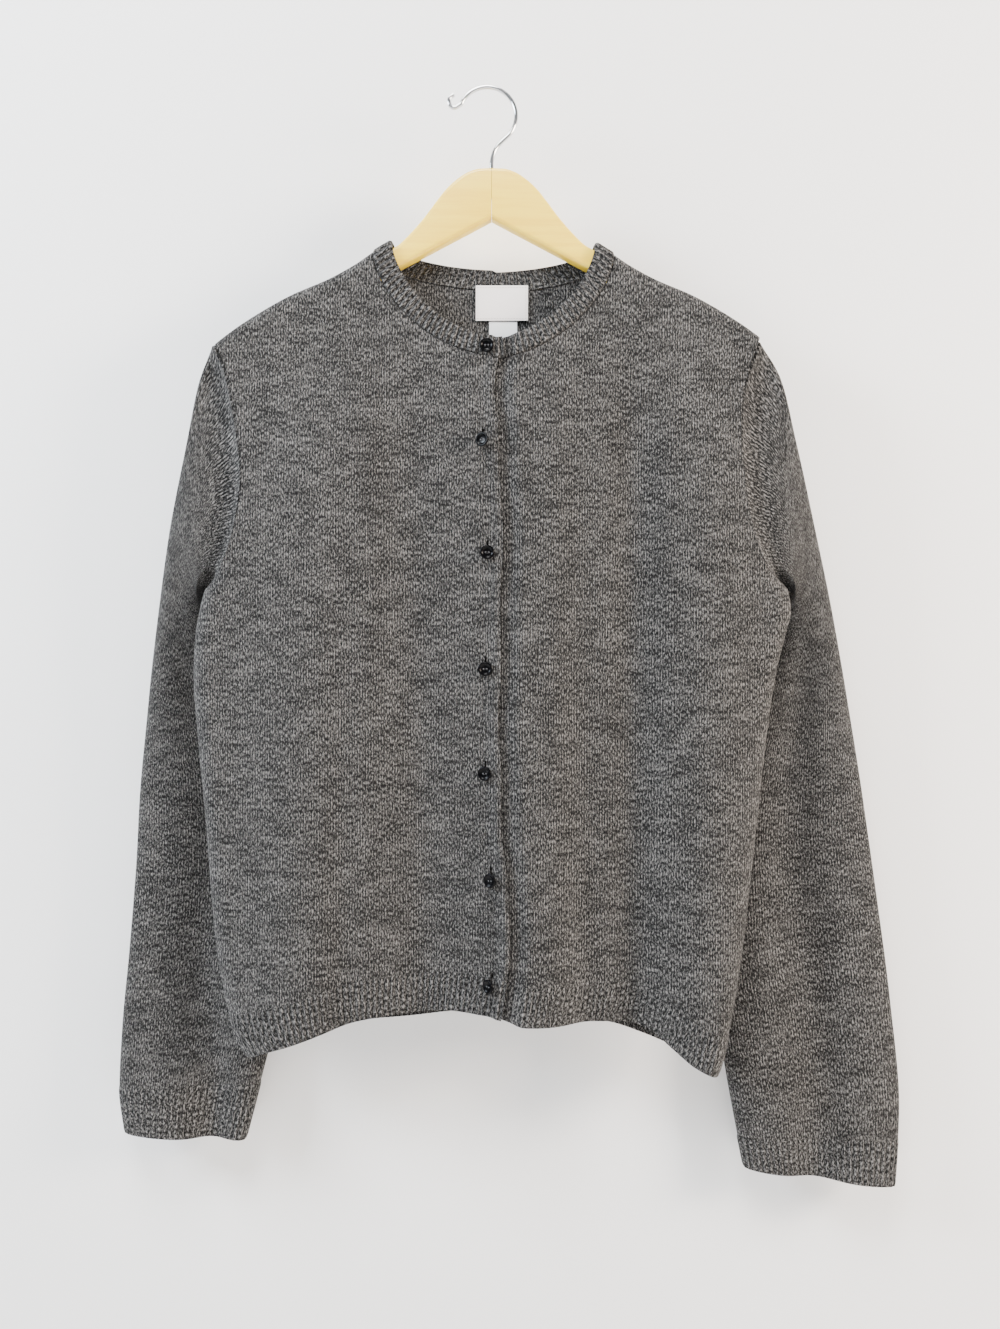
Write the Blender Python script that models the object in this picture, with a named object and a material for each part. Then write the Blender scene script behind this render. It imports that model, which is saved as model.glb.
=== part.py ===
# Button cardigan hanging on a wooden hanger.
#
# Sizes below are in millimetres and MM turns them into metres for the meshes.
# The origin is the inside of the hook's crown, where a rail or peg carries it.
# +X is the wearer's left, -Y the front, +Z up; a "drop" is a distance below the origin.

import math
from collections import namedtuple

import bmesh
import bpy
from mathutils import Matrix, Vector

MM = 0.001

# Driving sizes of the cloth
CLOTH = 2.0            # thickness of the felted knit
BAND_CLOTH = 3.0       # thickness of the doubled neckband
BAND_PROUD = 0.6       # how far the neckband stands out past the panels
SEAM_GAP = 0.3         # gap between two pieces at a seam
BAND_GAP = 0.7         # the same along the neckband's curve
CREST = 9.2            # half thickness of the garment over the hanger's arms
CREST_SHAPE = 2.6      # 2 is a round crest, higher is squarer
SIDE_ROLL = 13.0       # how far in from the side seam the cloth turns to the front
ROLL_FROM = 371.0      # drop where the side starts to roll under, near the underarm
SIDE_SEAM_Y = 1.5      # the side seam lies a little behind the hanger's middle
UNDERARM = 391.0       # drop of the underarm points
BODY_X = 3.5           # middle line of the hanger and of the shoulders
SHOULDER_COS = 0.88    # cosine of the shoulders' slope

# Neck opening: seam line of the band, and its free edge
NECK_X = 5.0
NECK_HALF = 94.0
NECK_FRONT = 83.0      # drop of the front seam line below the neck points
NECK_BACK = 26.0
NECK_SHAPE = 1.7
FREE_HALF = 79.0
FREE_FRONT = 76.0
FREE_BACK = 19.0

# Front overlap
UNDERLAP = 23.0        # how far the left front runs behind the right front's edge
UNDERLAP_STEP = 3.6    # how far back it lies there
STEP_CLEAR = 6.0       # past the edge before it starts to come forward
STEP_RUN = 10.0
BUTTON_INSET = 11.7    # buttons' distance from the right front's edge
SLIT_HALF = 1.1
SLIT_ABOVE = 11.5
SLIT_BELOW = 2.2

# Hanger
HANGER_HALF_THICK = 6.0
HANGER_TIP = 208.0
HANGER_EDGE = 3.2
HANGER_CLEAR = 5.2     # drop of the arm's top below the cloth's outer face
NOTCH_DROP = 102.6
ARM_SLOPE = 0.53
WIRE_RADIUS = 1.65
HOOK_RADIUS = 22.5
SHANK_X = 3.5
SHANK_BORE = 2.05
SHANK_DEEP = 86.0      # drop of the shank's lower end, inside the wood

# Sleeves
SLEEVE_CLEAR = 3.0     # gap between a sleeve and the back panel in front of it
SEAM_FADE = 2.5        # how soon the armhole's curve fades out along the sleeve
WALL_ROOM = 7.0        # least distance between a sleeve's outer faces, front to back
SLEEVE_TURN = 1.3      # how steeply a sleeve comes forward outside the body's edge

# Buttons
BUTTON_RADIUS = 5.5
BUTTON_SIDES = 14
SHANK_RADIUS = 0.7

# Labels
BRAND_LABEL = {"left": -9.0, "right": 32.0, "top": 149.0, "bottom": 176.5, "thick": 0.6}
CARE_LABEL = {"left": 1.5, "right": 23.5, "top": 177.0, "bottom": 207.0, "thick": 0.5}

# Outer edge of the fronts and the back: armhole seam down to 391, then the side seam
Edge = namedtuple("Edge", "drop right left")
OUTER_EDGE = [
    Edge(196, -213, 211), Edge(222, -201, 202), Edge(245, -196, 196.5),
    Edge(270, -191.5, 195.5), Edge(305, -188, 197), Edge(333, -191.5, 201),
    Edge(355, -197, 207), Edge(372, -204, 215), Edge(384, -213, 227),
    Edge(391, -220, 234.5), Edge(408, -224.5, 237), Edge(425, -227.5, 233),
    Edge(458, -229, 225), Edge(509, -225.5, 217.5), Edge(580, -219, 209.5),
    Edge(650, -213.5, 201.5), Edge(700, -206, 194.5), Edge(735, -197, 187.5),
    Edge(752, -188, 183.5), Edge(765, -184, 179.5),
]

# Shoulder line: distance out from the body's middle line
Shoulder = namedtuple("Shoulder", "out drop")
SHOULDER = [
    Shoulder(0, 84), Shoulder(40, 100), Shoulder(79, 120.5), Shoulder(90, 127),
    Shoulder(106, 138), Shoulder(127, 149.5), Shoulder(155, 161.5), Shoulder(176, 173),
    Shoulder(195, 185), Shoulder(210, 196), Shoulder(218, 202.5),
]

# Free edge of the right front
FrontEdge = namedtuple("FrontEdge", "drop x")
FRONT_EDGE = [
    FrontEdge(212, 8.5), FrontEdge(240, 5.5), FrontEdge(266, 8.5), FrontEdge(300, 9.3),
    FrontEdge(355, 12.3), FrontEdge(405, 10.0), FrontEdge(450, 10.8), FrontEdge(490, 8.6),
    FrontEdge(540, 11.0), FrontEdge(575, 11.0), FrontEdge(612, 15.3), FrontEdge(665, 17.5),
    FrontEdge(705, 13.0), FrontEdge(720, 10.8),
]

# Hem line, with the front's and the back's own drop
Hem = namedtuple("Hem", "x front back")
HEM = [
    Hem(-188, 752, 752), Hem(-170, 745, 747), Hem(-155, 740, 743), Hem(-124, 729.5, 736),
    Hem(-93, 721.5, 730), Hem(-60, 719, 726), Hem(-30, 717, 723), Hem(5, 719, 722),
    Hem(30, 724, 723), Hem(60, 724.5, 727), Hem(96, 725.5, 732), Hem(123, 730.5, 740),
    Hem(143, 744, 748), Hem(157, 754.5, 756), Hem(180, 765, 765),
]

# Buttons: drop, turn about the upright axis in degrees, and lift off the cloth
Button = namedtuple("Button", "drop turn lift")
BUTTONS = [
    Button(204.5, 8, 1.9), Button(277.8, -26, 3.6), Button(363.6, 8, 1.9),
    Button(452.4, 10, 2.0), Button(532.1, -8, 1.9), Button(613.4, -24, 3.4),
    Button(693.9, -34, 4.4),
]

# Depth of the fronts without folds, and of the back
Depth = namedtuple("Depth", "drop front back")
DEPTH = [
    Depth(200, 10.5, 9.5), Depth(300, 13, 11), Depth(450, 11, 11.5), Depth(600, 8, 11),
    Depth(740, 6, 10),
]

# Soft ridges down the fronts (height negative for a trough), at chest and at hem
Ridge = namedtuple("Ridge", "chest_x hem_x width chest hem")
FRONT_RIDGES = [
    Ridge(-128, -143, 52, 6.5, 19), Ridge(20, 30, 36, 5, 19), Ridge(172, 172, 36, 7, 19),
    Ridge(-112, -111, 13, 0, -3.5), Ridge(72, 76, 14, 0, -2.5), Ridge(118, 112, 18, -2, -1),
]
BACK_RIDGES = [
    Ridge(-96, -104, 30, 1.0, 4.5), Ridge(-10, 4, 34, 1.5, 5.5), Ridge(92, 100, 28, 1.0, 4.0),
]

# Sleeves: the outer fold, the inner fold, and the section between them
Ring = namedtuple("Ring", "at outer_x outer_drop outer_y inner_x inner_drop inner_y"
                          " half join valley valley_at")
SLEEVE_RIGHT = [
    Ring(0, -213.0, 200, 0, -220.0, 391, 1.5, 14, 1.00, 0, 0.5),
    Ring(1, -224.0, 228, 1, -225.0, 391.5, 3.5, 14, 0.80, 0, 0.5),
    Ring(2, -235, 280, 3, -229.0, 395, 7, 14, 0.50, 0, 0.5),
    Ring(3, -249, 343, 8, -231.5, 401, 12, 14, 0.25, 0, 0.5),
    Ring(4, -259.5, 405, 13, -230.0, 412, 19, 14, 0.10, 0, 0.5),
    Ring(5, -267, 460, 15, -215.0, 438, 29, 14, 0.00, 2, 0.5),
    Ring(6, -271.5, 497, 17, -190.0, 473, 31, 13, 0.00, 4, 0.5),
    Ring(7, -277, 550, 18, -163.0, 535, 32, 12, 0.00, 6, 0.5),
    Ring(8, -281, 610, 20, -152.0, 605, 32, 11, 0.00, 8, 0.47),
    Ring(9, -287, 680, 21, -158.0, 675, 31, 11, 0.00, 9, 0.46),
    Ring(10, -292.5, 740, 21, -171.0, 735, 30, 11, 0.00, 10, 0.55),
    Ring(11, -294.5, 785, 21, -183.0, 785, 26, 12, 0.00, 11, 0.66),
    Ring(12, -290, 822, 21, -194.5, 830, 24, 12, 0.00, 11, 0.72),
]
SLEEVE_LEFT = [
    Ring(0, 211.0, 197, 0, 234.5, 391, 1.5, 14, 1.00, 0, 0.5),
    Ring(1, 228.0, 225, 1, 239.5, 391.5, 3.5, 14, 0.80, 0, 0.5),
    Ring(2, 241, 276, 3, 243.5, 395, 7, 14, 0.50, 0, 0.5),
    Ring(3, 255.5, 335, 8, 246.0, 401, 12, 14, 0.25, 0, 0.5),
    Ring(4, 271, 400, 13, 244.5, 412, 19, 14, 0.10, 0, 0.5),
    Ring(5, 281.5, 453, 15, 229.0, 440, 29, 14, 0.00, 2, 0.5),
    Ring(6, 288, 487, 17, 207.0, 478, 31, 13, 0.00, 4, 0.5),
    Ring(7, 297, 540, 18, 187.0, 537, 32, 12, 0.00, 6, 0.5),
    Ring(8, 305, 590, 20, 175.0, 600, 32, 11, 0.00, 8, 0.47),
    Ring(9, 313, 645, 21, 175.0, 667, 31, 11, 0.00, 9, 0.46),
    Ring(10, 322, 715, 21, 186.0, 738, 30, 11, 0.00, 9, 0.46),
    Ring(11, 329.5, 800, 21, 198.0, 810, 26, 12, 0.00, 9, 0.50),
    Ring(12, 326, 865, 21, 206.0, 852, 24, 12, 0.00, 9, 0.53),
]
SLEEVE_RINGS = [0, 1, 2, 3, 4, 5, 6, 7, 8, 9, 10, 11, 12]

# Grid of a panel: rows as shares of the armhole's height and of the side seam's,
# and columns as distances from its edges or shares of the stretch between
ARM_ROWS = [0, 0.010, 0.035, 0.08, 0.19, 0.55, 0.68, 0.94, 1.0]
SIDE_ROWS = [0.07, 0.28, 0.54, 0.79, 1.0]
BACK_ARM_ROWS = [0, 0.010, 0.035, 0.08, 0.22, 0.42, 0.62, 0.80, 0.94, 1.0]
BACK_SIDE_ROWS = [0.12, 0.27, 0.42, 0.57, 0.72, 0.86, 1.0]
LEFT_ARM_ROWS = [0, 0.010, 0.035, 0.08, 0.22, 0.42, 0.62, 0.80, 0.94, 1.0]
LEFT_SIDE_ROWS = [0.12, 0.25, 0.38, 0.51, 0.64, 0.77, 0.89, 1.0]
EDGE_COLUMNS = [0, 1.5, 5.0, 11.0, 20.0]
NECK_SHARES = [0.35, 0.65, 0.86, 0.955, 0.99, 0.998, 1.0]
CHEST_SHARES = [0.30, 0.53, 0.70, 0.80, 0.88, 0.94, 1.0]
FAN_FROM, FAN_RUN = 165.0, 110.0   # drops over which the neck's columns fan out evenly
OUT_SHARES = [0.2, 0.45, 0.72]
SLIT_COLUMN = 2
BAND_END_XS = [13.5, 8.0, 1.5, -1.1, -6.5]
BAND_ROWS = [0, 0.22, 0.74, 1.0]

COLOURS = {
    "knit": ((0.150, 0.140, 0.132), 0.95, 0.0), "rib": ((0.140, 0.131, 0.124), 0.95, 0.0),
    "button": ((0.012, 0.014, 0.022), 0.25, 0.0), "brand label": ((0.90, 0.85, 0.82), 0.8, 0.0),
    "care label": ((0.88, 0.88, 0.86), 0.5, 0.0), "wood": ((0.90, 0.74, 0.40), 0.45, 0.0),
    "steel": ((0.62, 0.62, 0.62), 0.22, 1.0),
}


def read(rows, key, column, at):
    """One column's value at a place between the rows, on a smooth curve that never overshoots."""
    places = [getattr(row, key) for row in rows]
    values = [getattr(row, column) for row in rows]
    if at <= places[0]:
        return values[0]
    if at >= places[-1]:
        return values[-1]
    i = max(k for k in range(len(places) - 1) if places[k] <= at)

    def slope(k):
        if k == 0 or k == len(places) - 1:
            other = 1 if k == 0 else k - 1
            near = 0 if k == 0 else k
            return (values[other] - values[near]) / (places[other] - places[near])
        before = (values[k] - values[k - 1]) / (places[k] - places[k - 1])
        after = (values[k + 1] - values[k]) / (places[k + 1] - places[k])
        return 0.0 if before * after <= 0 else 2 * before * after / (before + after)

    span = places[i + 1] - places[i]
    t = (at - places[i]) / span
    return (values[i] * (2 * t ** 3 - 3 * t ** 2 + 1) + values[i + 1] * (3 * t ** 2 - 2 * t ** 3)
            + slope(i) * span * (t ** 3 - 2 * t ** 2 + t) + slope(i + 1) * span * (t ** 3 - t ** 2))


def ease(t):
    t = min(1.0, max(0.0, t))
    return t * t * (3 - 2 * t)


def crest(distance, reach, shape=2.0):
    """Rise from 0 at an edge to 1 at its reach, like the quarter of a rounded section."""
    t = min(1.0, max(0.0, distance / reach))
    return (1 - (1 - t) ** shape) ** (1 / shape)


# Outlines

def shoulder_drop(x):
    return read(SHOULDER, "out", "drop", abs(x - BODY_X))


def arch(x, half, depth):
    """Neck curve: how far it lies below its two ends."""
    out = min(1.0, abs(x - NECK_X) / half)
    return depth * (1 - out ** NECK_SHAPE) ** (1 / NECK_SHAPE)


def top_drop(x, is_front):
    """Top edge of a panel: neck seam in the middle, shoulder seam outside it."""
    if abs(x - NECK_X) >= NECK_HALF:
        return shoulder_drop(x)
    neck_point = shoulder_drop(NECK_X + math.copysign(NECK_HALF, x - NECK_X))
    return neck_point + arch(x, NECK_HALF, NECK_FRONT if is_front else NECK_BACK)


def hem_drop(x, is_front):
    return read(HEM, "x", "front" if is_front else "back", x)


def outer_x(side, drop):
    return read(OUTER_EDGE, "drop", "left" if side > 0 else "right", drop)


def front_edge_x(drop):
    return read(FRONT_EDGE, "drop", "x", drop)


# Depth of the cloth's outer face in front of or behind the hanger's middle

def ridges(rows, x, drop):
    down = min(1.0, max(0.0, (drop - 300) / 435))
    fade = 0.3 + 0.7 * ease((drop - 150) / 150)
    total = 0.0
    for row in rows:
        middle = row.chest_x + (row.hem_x - row.chest_x) * down
        height = row.chest + (row.hem - row.chest) * down
        total += fade * height * math.exp(-((x - middle) / row.width) ** 2)
    return total


def panel_depth(x, drop, is_front):
    """How far the outer face lies from the hanger's middle plane."""
    full = read(DEPTH, "drop", "front" if is_front else "back", drop)
    full += ridges(FRONT_RIDGES if is_front else BACK_RIDGES, x, drop)
    below = (drop - shoulder_drop(x)) * SHOULDER_COS
    depth = CREST + (full - CREST) * ease(below / 150)
    depth *= crest(below, CREST, CREST_SHAPE)
    side = 1 if x > 0 else -1
    inside = (outer_x(side, drop) - x) * side
    roll = crest(inside, SIDE_ROLL)
    share = ease((drop - ROLL_FROM) / (UNDERARM - ROLL_FROM))
    seam = -SIDE_SEAM_Y if is_front else SIDE_SEAM_Y
    return depth * (1 - share) + share * (seam + (depth - seam) * roll)


def underlap_step(x, drop):
    return UNDERLAP_STEP * (1 - ease((x - front_edge_x(drop) - STEP_CLEAR) / STEP_RUN))


def face_point(x, drop, panel):
    """Point on a panel's outer face."""
    depth = panel_depth(x, drop, panel != "back")
    if panel == "front_left":
        depth -= underlap_step(x, drop)
    depth += SEAM_GAP / 2
    return Vector((x, depth if panel == "back" else -depth, -drop))


def face_inward(x, drop, panel):
    """Unit vector from a panel's outer face into the cloth."""
    reach = 0.4
    across = face_point(x + reach, drop, panel) - face_point(x - reach, drop, panel)
    down = face_point(x, drop + reach, panel) - face_point(x, drop - reach, panel)
    inward = across.cross(down).normalized()
    wanted = -1 if panel == "back" else 1
    return inward if inward.y * wanted > 0 else -inward


def shoulder_inward(x):
    """Down into the cloth, square to the sloping shoulder seam."""
    slope = (shoulder_drop(x + 2) - shoulder_drop(x - 2)) / 4
    return Vector((-slope, 0, -1)).normalized()


# Meshes

def make_object(name, mesh_bm, colour, smooth_angle=50):
    bmesh.ops.recalc_face_normals(mesh_bm, faces=mesh_bm.faces)
    for vert in mesh_bm.verts:
        vert.co *= MM
    mesh = bpy.data.meshes.new(name)
    mesh_bm.to_mesh(mesh)
    mesh_bm.free()
    mesh.shade_smooth()
    mesh.set_sharp_from_angle(angle=math.radians(smooth_angle))
    mesh.materials.append(material(colour))
    thing = bpy.data.objects.new(name, mesh)
    bpy.context.scene.collection.objects.link(thing)
    return thing


def material(colour):
    found = bpy.data.materials.get(colour)
    if found:
        return found
    rgb, roughness, metallic = COLOURS[colour]
    made = bpy.data.materials.new(colour)
    made.use_nodes = True
    shader = made.node_tree.nodes["Principled BSDF"]
    shader.inputs["Base Color"].default_value = (*rgb, 1)
    shader.inputs["Roughness"].default_value = roughness
    shader.inputs["Metallic"].default_value = metallic
    return made


def cloth_shell(name, outer, inward, thickness, colour, closed=False, holes=()):
    """Wall of cloth between a grid of outer points and the same grid moved inwards.

    closed joins the last column to the first; holes are (row, column) cells left open.
    """
    bm = bmesh.new()
    rows, columns = len(outer), len(outer[0])
    face = [[bm.verts.new(point) for point in row] for row in outer]
    back = [[bm.verts.new(point + way * thickness) for point, way in zip(*pair)]
            for pair in zip(outer, inward)]
    last = columns if closed else columns - 1
    cells = {(r, c) for r in range(rows - 1) for c in range(last)} - set(holes)
    for r, c in cells:
        d = (c + 1) % columns
        for wall in (face, back):
            bm.faces.new((wall[r][c], wall[r][d], wall[r + 1][d]))
            bm.faces.new((wall[r][c], wall[r + 1][d], wall[r + 1][c]))
        sides = (((r - 1, c), (r, c), (r, d)), ((r + 1, c), (r + 1, d), (r + 1, c)),
                 ((r, (c - 1) % columns if closed else c - 1), (r + 1, c), (r, c)),
                 ((r, (c + 1) % columns if closed else c + 1), (r, d), (r + 1, d)))
        for neighbour, (r1, c1), (r2, c2) in sides:
            if neighbour not in cells:
                bm.faces.new((face[r2][c2], face[r1][c1], back[r1][c1], back[r2][c2]))
    return make_object(name, bm, colour)


# Panels: a grid of columns from the neck side to the outer edge, rows from top to hem

def spread(start, end, shares):
    return [start + (end - start) * share for share in shares]


def first_x(side, drop):
    """Free edge of a front; the left one runs on behind the right one's edge."""
    return front_edge_x(drop) - (UNDERLAP if side > 0 else 0)


def front_columns(side):
    """Functions that give each column's x at a drop, and the index of the neck point's column."""
    near = [0, 5.0, BUTTON_INSET - SLIT_HALF, BUTTON_INSET + SLIT_HALF, 20.0]
    if side > 0:
        near = [0, 12.0, UNDERLAP + STEP_CLEAR, UNDERLAP + STEP_CLEAR + STEP_RUN]
    fixed = near[-1] + EDGE_COLUMNS[-1]
    middle = abs(outer_x(side, 0) - first_x(side, 0)) - fixed
    neck = (abs(NECK_X + side * NECK_HALF - first_x(side, 0)) - near[-1]) / middle
    places = [(distance, 0.0, 0.0) for distance in near]
    places += [(near[-1], neck * high, neck * low) for high, low in zip(NECK_SHARES, CHEST_SHARES)]
    places += [(near[-1], share, share) for share in spread(neck, 1, OUT_SHARES)]
    places += [(fixed - distance, 1.0, 1.0) for distance in reversed(EDGE_COLUMNS)]

    def column(distance, high, low):
        def x_at(drop):
            width = abs(outer_x(side, drop) - first_x(side, drop)) - fixed
            share = high + (low - high) * ease((drop - FAN_FROM) / FAN_RUN)
            return first_x(side, drop) + side * (distance + share * width)
        return x_at

    return [column(*place) for place in places], len(near) + len(NECK_SHARES) - 1


def back_columns():
    """Column functions of the back, with the indices of the two neck points' columns."""
    fixed = 2 * EDGE_COLUMNS[-1]
    start = outer_x(-1, 0)
    middle = outer_x(1, 0) - start - fixed
    centre = (NECK_X - start - EDGE_COLUMNS[-1]) / middle
    half = NECK_HALF / middle
    low, high = centre - half, centre + half
    inset = EDGE_COLUMNS[-1]
    neck = list(zip(NECK_SHARES, CHEST_SHARES))
    places = [(distance, 0.0, 0.0) for distance in EDGE_COLUMNS]
    places += [(inset, share, share) for share in spread(low, 0, reversed(OUT_SHARES))]
    first_neck = len(places)
    places += [(inset, centre - half * a, centre - half * b) for a, b in reversed(neck)]
    places += [(inset, centre, centre)]
    places += [(inset, centre + half * a, centre + half * b) for a, b in neck]
    last_neck = len(places) - 1
    places += [(inset, share, share) for share in spread(high, 1, OUT_SHARES)]
    places += [(fixed - distance, 1.0, 1.0) for distance in reversed(EDGE_COLUMNS)]

    def column(distance, high_share, low_share):
        def x_at(drop):
            width = outer_x(1, drop) - outer_x(-1, drop) - fixed
            share = high_share + (low_share - high_share) * ease((drop - FAN_FROM) / FAN_RUN)
            return outer_x(-1, drop) + distance + share * width
        return x_at

    return [column(*place) for place in places], first_neck, last_neck


def meet(x_at, edge_drop):
    """Drop where a column crosses an edge line."""
    low, high = 60.0, 800.0
    for _ in range(40):
        middle = (low + high) / 2
        if middle < edge_drop(x_at(middle)):
            low = middle
        else:
            high = middle
    return (low + high) / 2


def top_and_hem(x_at, is_front):
    top = meet(x_at, lambda x: top_drop(x, is_front))
    return top, meet(x_at, lambda x: hem_drop(x, is_front))


def arm_share(side):
    """Share of the outer column's height that lies above the underarm point."""
    top, hem = top_and_hem(lambda drop: outer_x(side, drop), True)
    return (UNDERARM - top) / (hem - top)


def slit_shares():
    """Row shares at the two ends of each buttonhole of the right front."""
    top, hem = top_and_hem(front_columns(-1)[0][SLIT_COLUMN], True)
    ends = []
    for button in BUTTONS[1:]:
        ends += [button.drop - SLIT_ABOVE, button.drop + SLIT_BELOW]
    return [(end - top) / (hem - top) for end in ends]


def row_shares(arm, arm_rows, side_rows, more=()):
    rows = [arm * share for share in arm_rows] + spread(arm, 1, side_rows)
    return sorted(rows + list(more))


def seam_inward(x, drop, side, is_top, is_outer, panel):
    """Direction into the cloth, shared by the pieces that meet at a seam."""
    if is_outer and drop > UNDERARM + 0.01:
        return Vector((-side, 0, 0))
    if is_outer and drop > ROLL_FROM:
        share = ease((drop - ROLL_FROM) / (UNDERARM - ROLL_FROM))
        own = face_inward(x, ROLL_FROM, panel)
        return own.lerp(Vector((-side * 0.75, 0, 0.66)), share).normalized()
    if is_top and abs(x - NECK_X) >= NECK_HALF - 0.01:
        return shoulder_inward(x)
    return face_inward(x, drop, panel)


def front_panel(name, side, rows):
    columns, _ = front_columns(side)
    ends = [top_and_hem(x_at, True) for x_at in columns]
    outer, inward = [], []
    for share in rows:
        drops = [top + (hem - top) * share for top, hem in ends]
        xs = [x_at(drop) for x_at, drop in zip(columns, drops)]
        outer.append([face_point(x, drop, name) for x, drop in zip(xs, drops)])
        inward.append([seam_inward(x, drop, side, share == 0, c == len(xs) - 1, name)
                       for c, (x, drop) in enumerate(zip(xs, drops))])
    return outer, inward


def back_panel():
    columns, _, _ = back_columns()
    ends = [top_and_hem(x_at, False) for x_at in columns]
    arms = arm_share(-1), arm_share(1)
    outer, inward = [], []
    last = len(columns) - 1
    lists = [row_shares(arms[0] + (arms[1] - arms[0]) * c / last, BACK_ARM_ROWS, BACK_SIDE_ROWS)
             for c in range(last + 1)]
    for r in range(len(lists[0])):
        points, ways = [], []
        for c, (x_at, (top, hem)) in enumerate(zip(columns, ends)):
            drop = top + (hem - top) * lists[c][r]
            x = x_at(drop)
            side = -1 if c == 0 else 1
            points.append(face_point(x, drop, "back"))
            ways.append(seam_inward(x, drop, side, r == 0, c in (0, last), "back"))
        outer.append(points)
        inward.append(ways)
    return outer, inward


# Sleeves

def soft_max(a, b, blend):
    gap = abs(a - b)
    return max(a, b) + (max(0.0, blend - gap) ** 2) / (4 * blend)


def clear_of_body(side, x, drop):
    """Least y of a sleeve's front wall, so that it passes behind the body's side edge."""
    inside = (outer_x(side, drop) - x) * side
    if inside > 0 and drop > UNDERARM:
        return panel_depth(x, drop, False) + SLEEVE_CLEAR
    return SIDE_SEAM_Y + SLEEVE_CLEAR + (min(inside, 0) - max(0.0, UNDERARM - drop)) * SLEEVE_TURN


def between(pairs, at):
    """Value at a place on the straight lines between (place, value) pairs."""
    for (start, first), (end, second) in zip(pairs, pairs[1:]):
        if at <= end:
            return first + (second - first) * (at - start) / (end - start)
    return pairs[-1][1]


def armhole(side, front, back):
    """The armhole's points and directions: down the front seam, then up the back seam."""
    column = -1 if side > 0 else 0
    count = [next(r for r, row in enumerate(points) if abs(row[edge].z + UNDERARM) < 0.01) + 1
             for points, edge in ((front[0], -1), (back[0], column))]
    down = [(front[0][r][-1], front[1][r][-1]) for r in range(count[0])]
    up = [(back[0][r][column], back[1][r][column]) for r in range(1, count[1] - 1)]
    loop = down + up[::-1]
    return loop, count[0]


def even_out(ways, r):
    """One ring of directions, each averaged with its neighbours round and along the sleeve."""
    ring, count = ways[r], len(ways[r])
    after = ways[min(r + 1, len(ways) - 1)]
    return [(ring[c] * 2 + ring[c - 1] + ring[(c + 1) % count] + ways[r - 1][c] + after[c])
            .normalized() for c in range(count)]


def sleeve(side, rows, front, back):
    loop, front_count = armhole(side, front, back)
    tip, pit = loop[0][0], loop[front_count - 1][0]
    shares = [(tip.z - point.z) / (tip.z - pit.z) for point, _ in loop]
    outer, inward = [], []
    for at in SLEEVE_RINGS:
        ring = {column: read(rows, "at", column, at) for column in Ring._fields[1:]}
        top = Vector((ring["outer_x"], ring["outer_y"], -ring["outer_drop"]))
        end = Vector((ring["inner_x"], ring["inner_y"], -ring["inner_drop"]))
        points, fronts = [], []
        for k, ((seam_point, _), share) in enumerate(zip(loop, shares)):
            point = top + (end - top) * share
            own = seam_point - (tip + (pit - tip) * share)
            flat = ring["half"] * crest(min(share, 1 - share), 0.5, 2.6)
            dip = ring["valley"] * math.exp(-((share - ring["valley_at"]) / 0.17) ** 2)
            is_front = k < front_count
            sideways = ring["join"] ** SEAM_FADE
            point += Vector((own.x * sideways, own.y * ring["join"], own.z * sideways))
            point.y += (1 - ring["join"]) * (dip - flat if is_front else flat)
            if is_front and at > 0 and 0 < share < 1:
                point.y = soft_max(point.y, clear_of_body(side, point.x, -point.z), 3.0)
            if is_front:
                fronts.append((share, point.y))
            elif at > 0:
                room = WALL_ROOM * crest(min(share, 1 - share), 0.05)
                point.y = soft_max(point.y, between(fronts, share) + room, 2.0)
            points.append(point)
        outer.append(points)
    outer[0] = [point + Vector((side, 0, max(0, share - 0.9) * 8)) * SEAM_GAP * 1.3
                for (point, _), share in zip(loop, shares)]
    for ring_points in outer:
        count = len(ring_points)
        chord = ring_points[front_count - 1] - ring_points[0]
        across = chord.cross(Vector((0, 1, 0)))
        inward.append([across.cross(ring_points[(c + 1) % count] - ring_points[c - 1]).normalized()
                       for c in range(count)])
    inward[0] = [way for _, way in loop]
    for _ in range(2):
        inward = [inward[0]] + [even_out(inward, r) for r in range(1, len(inward))]
    return outer, inward


# Neckband

def band_point(x, is_front, panel):
    """Seam point and free-edge point of the band, and the direction into it."""
    seam_drop = top_drop(x, is_front)
    free_x = NECK_X + (x - NECK_X) * FREE_HALF / NECK_HALF
    end = NECK_X + math.copysign(FREE_HALF, x - NECK_X)
    free_drop = shoulder_drop(end) + arch(free_x, FREE_HALF, FREE_FRONT if is_front else FREE_BACK)
    seam = face_point(x, seam_drop, panel)
    free = face_point(free_x, free_drop, panel)
    if abs(x - NECK_X) >= NECK_HALF - 0.01:
        seam.y = free.y = 0
        return seam, free, shoulder_inward(x)
    if abs(free.y) > abs(seam.y):
        free.y = seam.y
    return seam, free, face_inward(x, seam_drop, panel)


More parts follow.
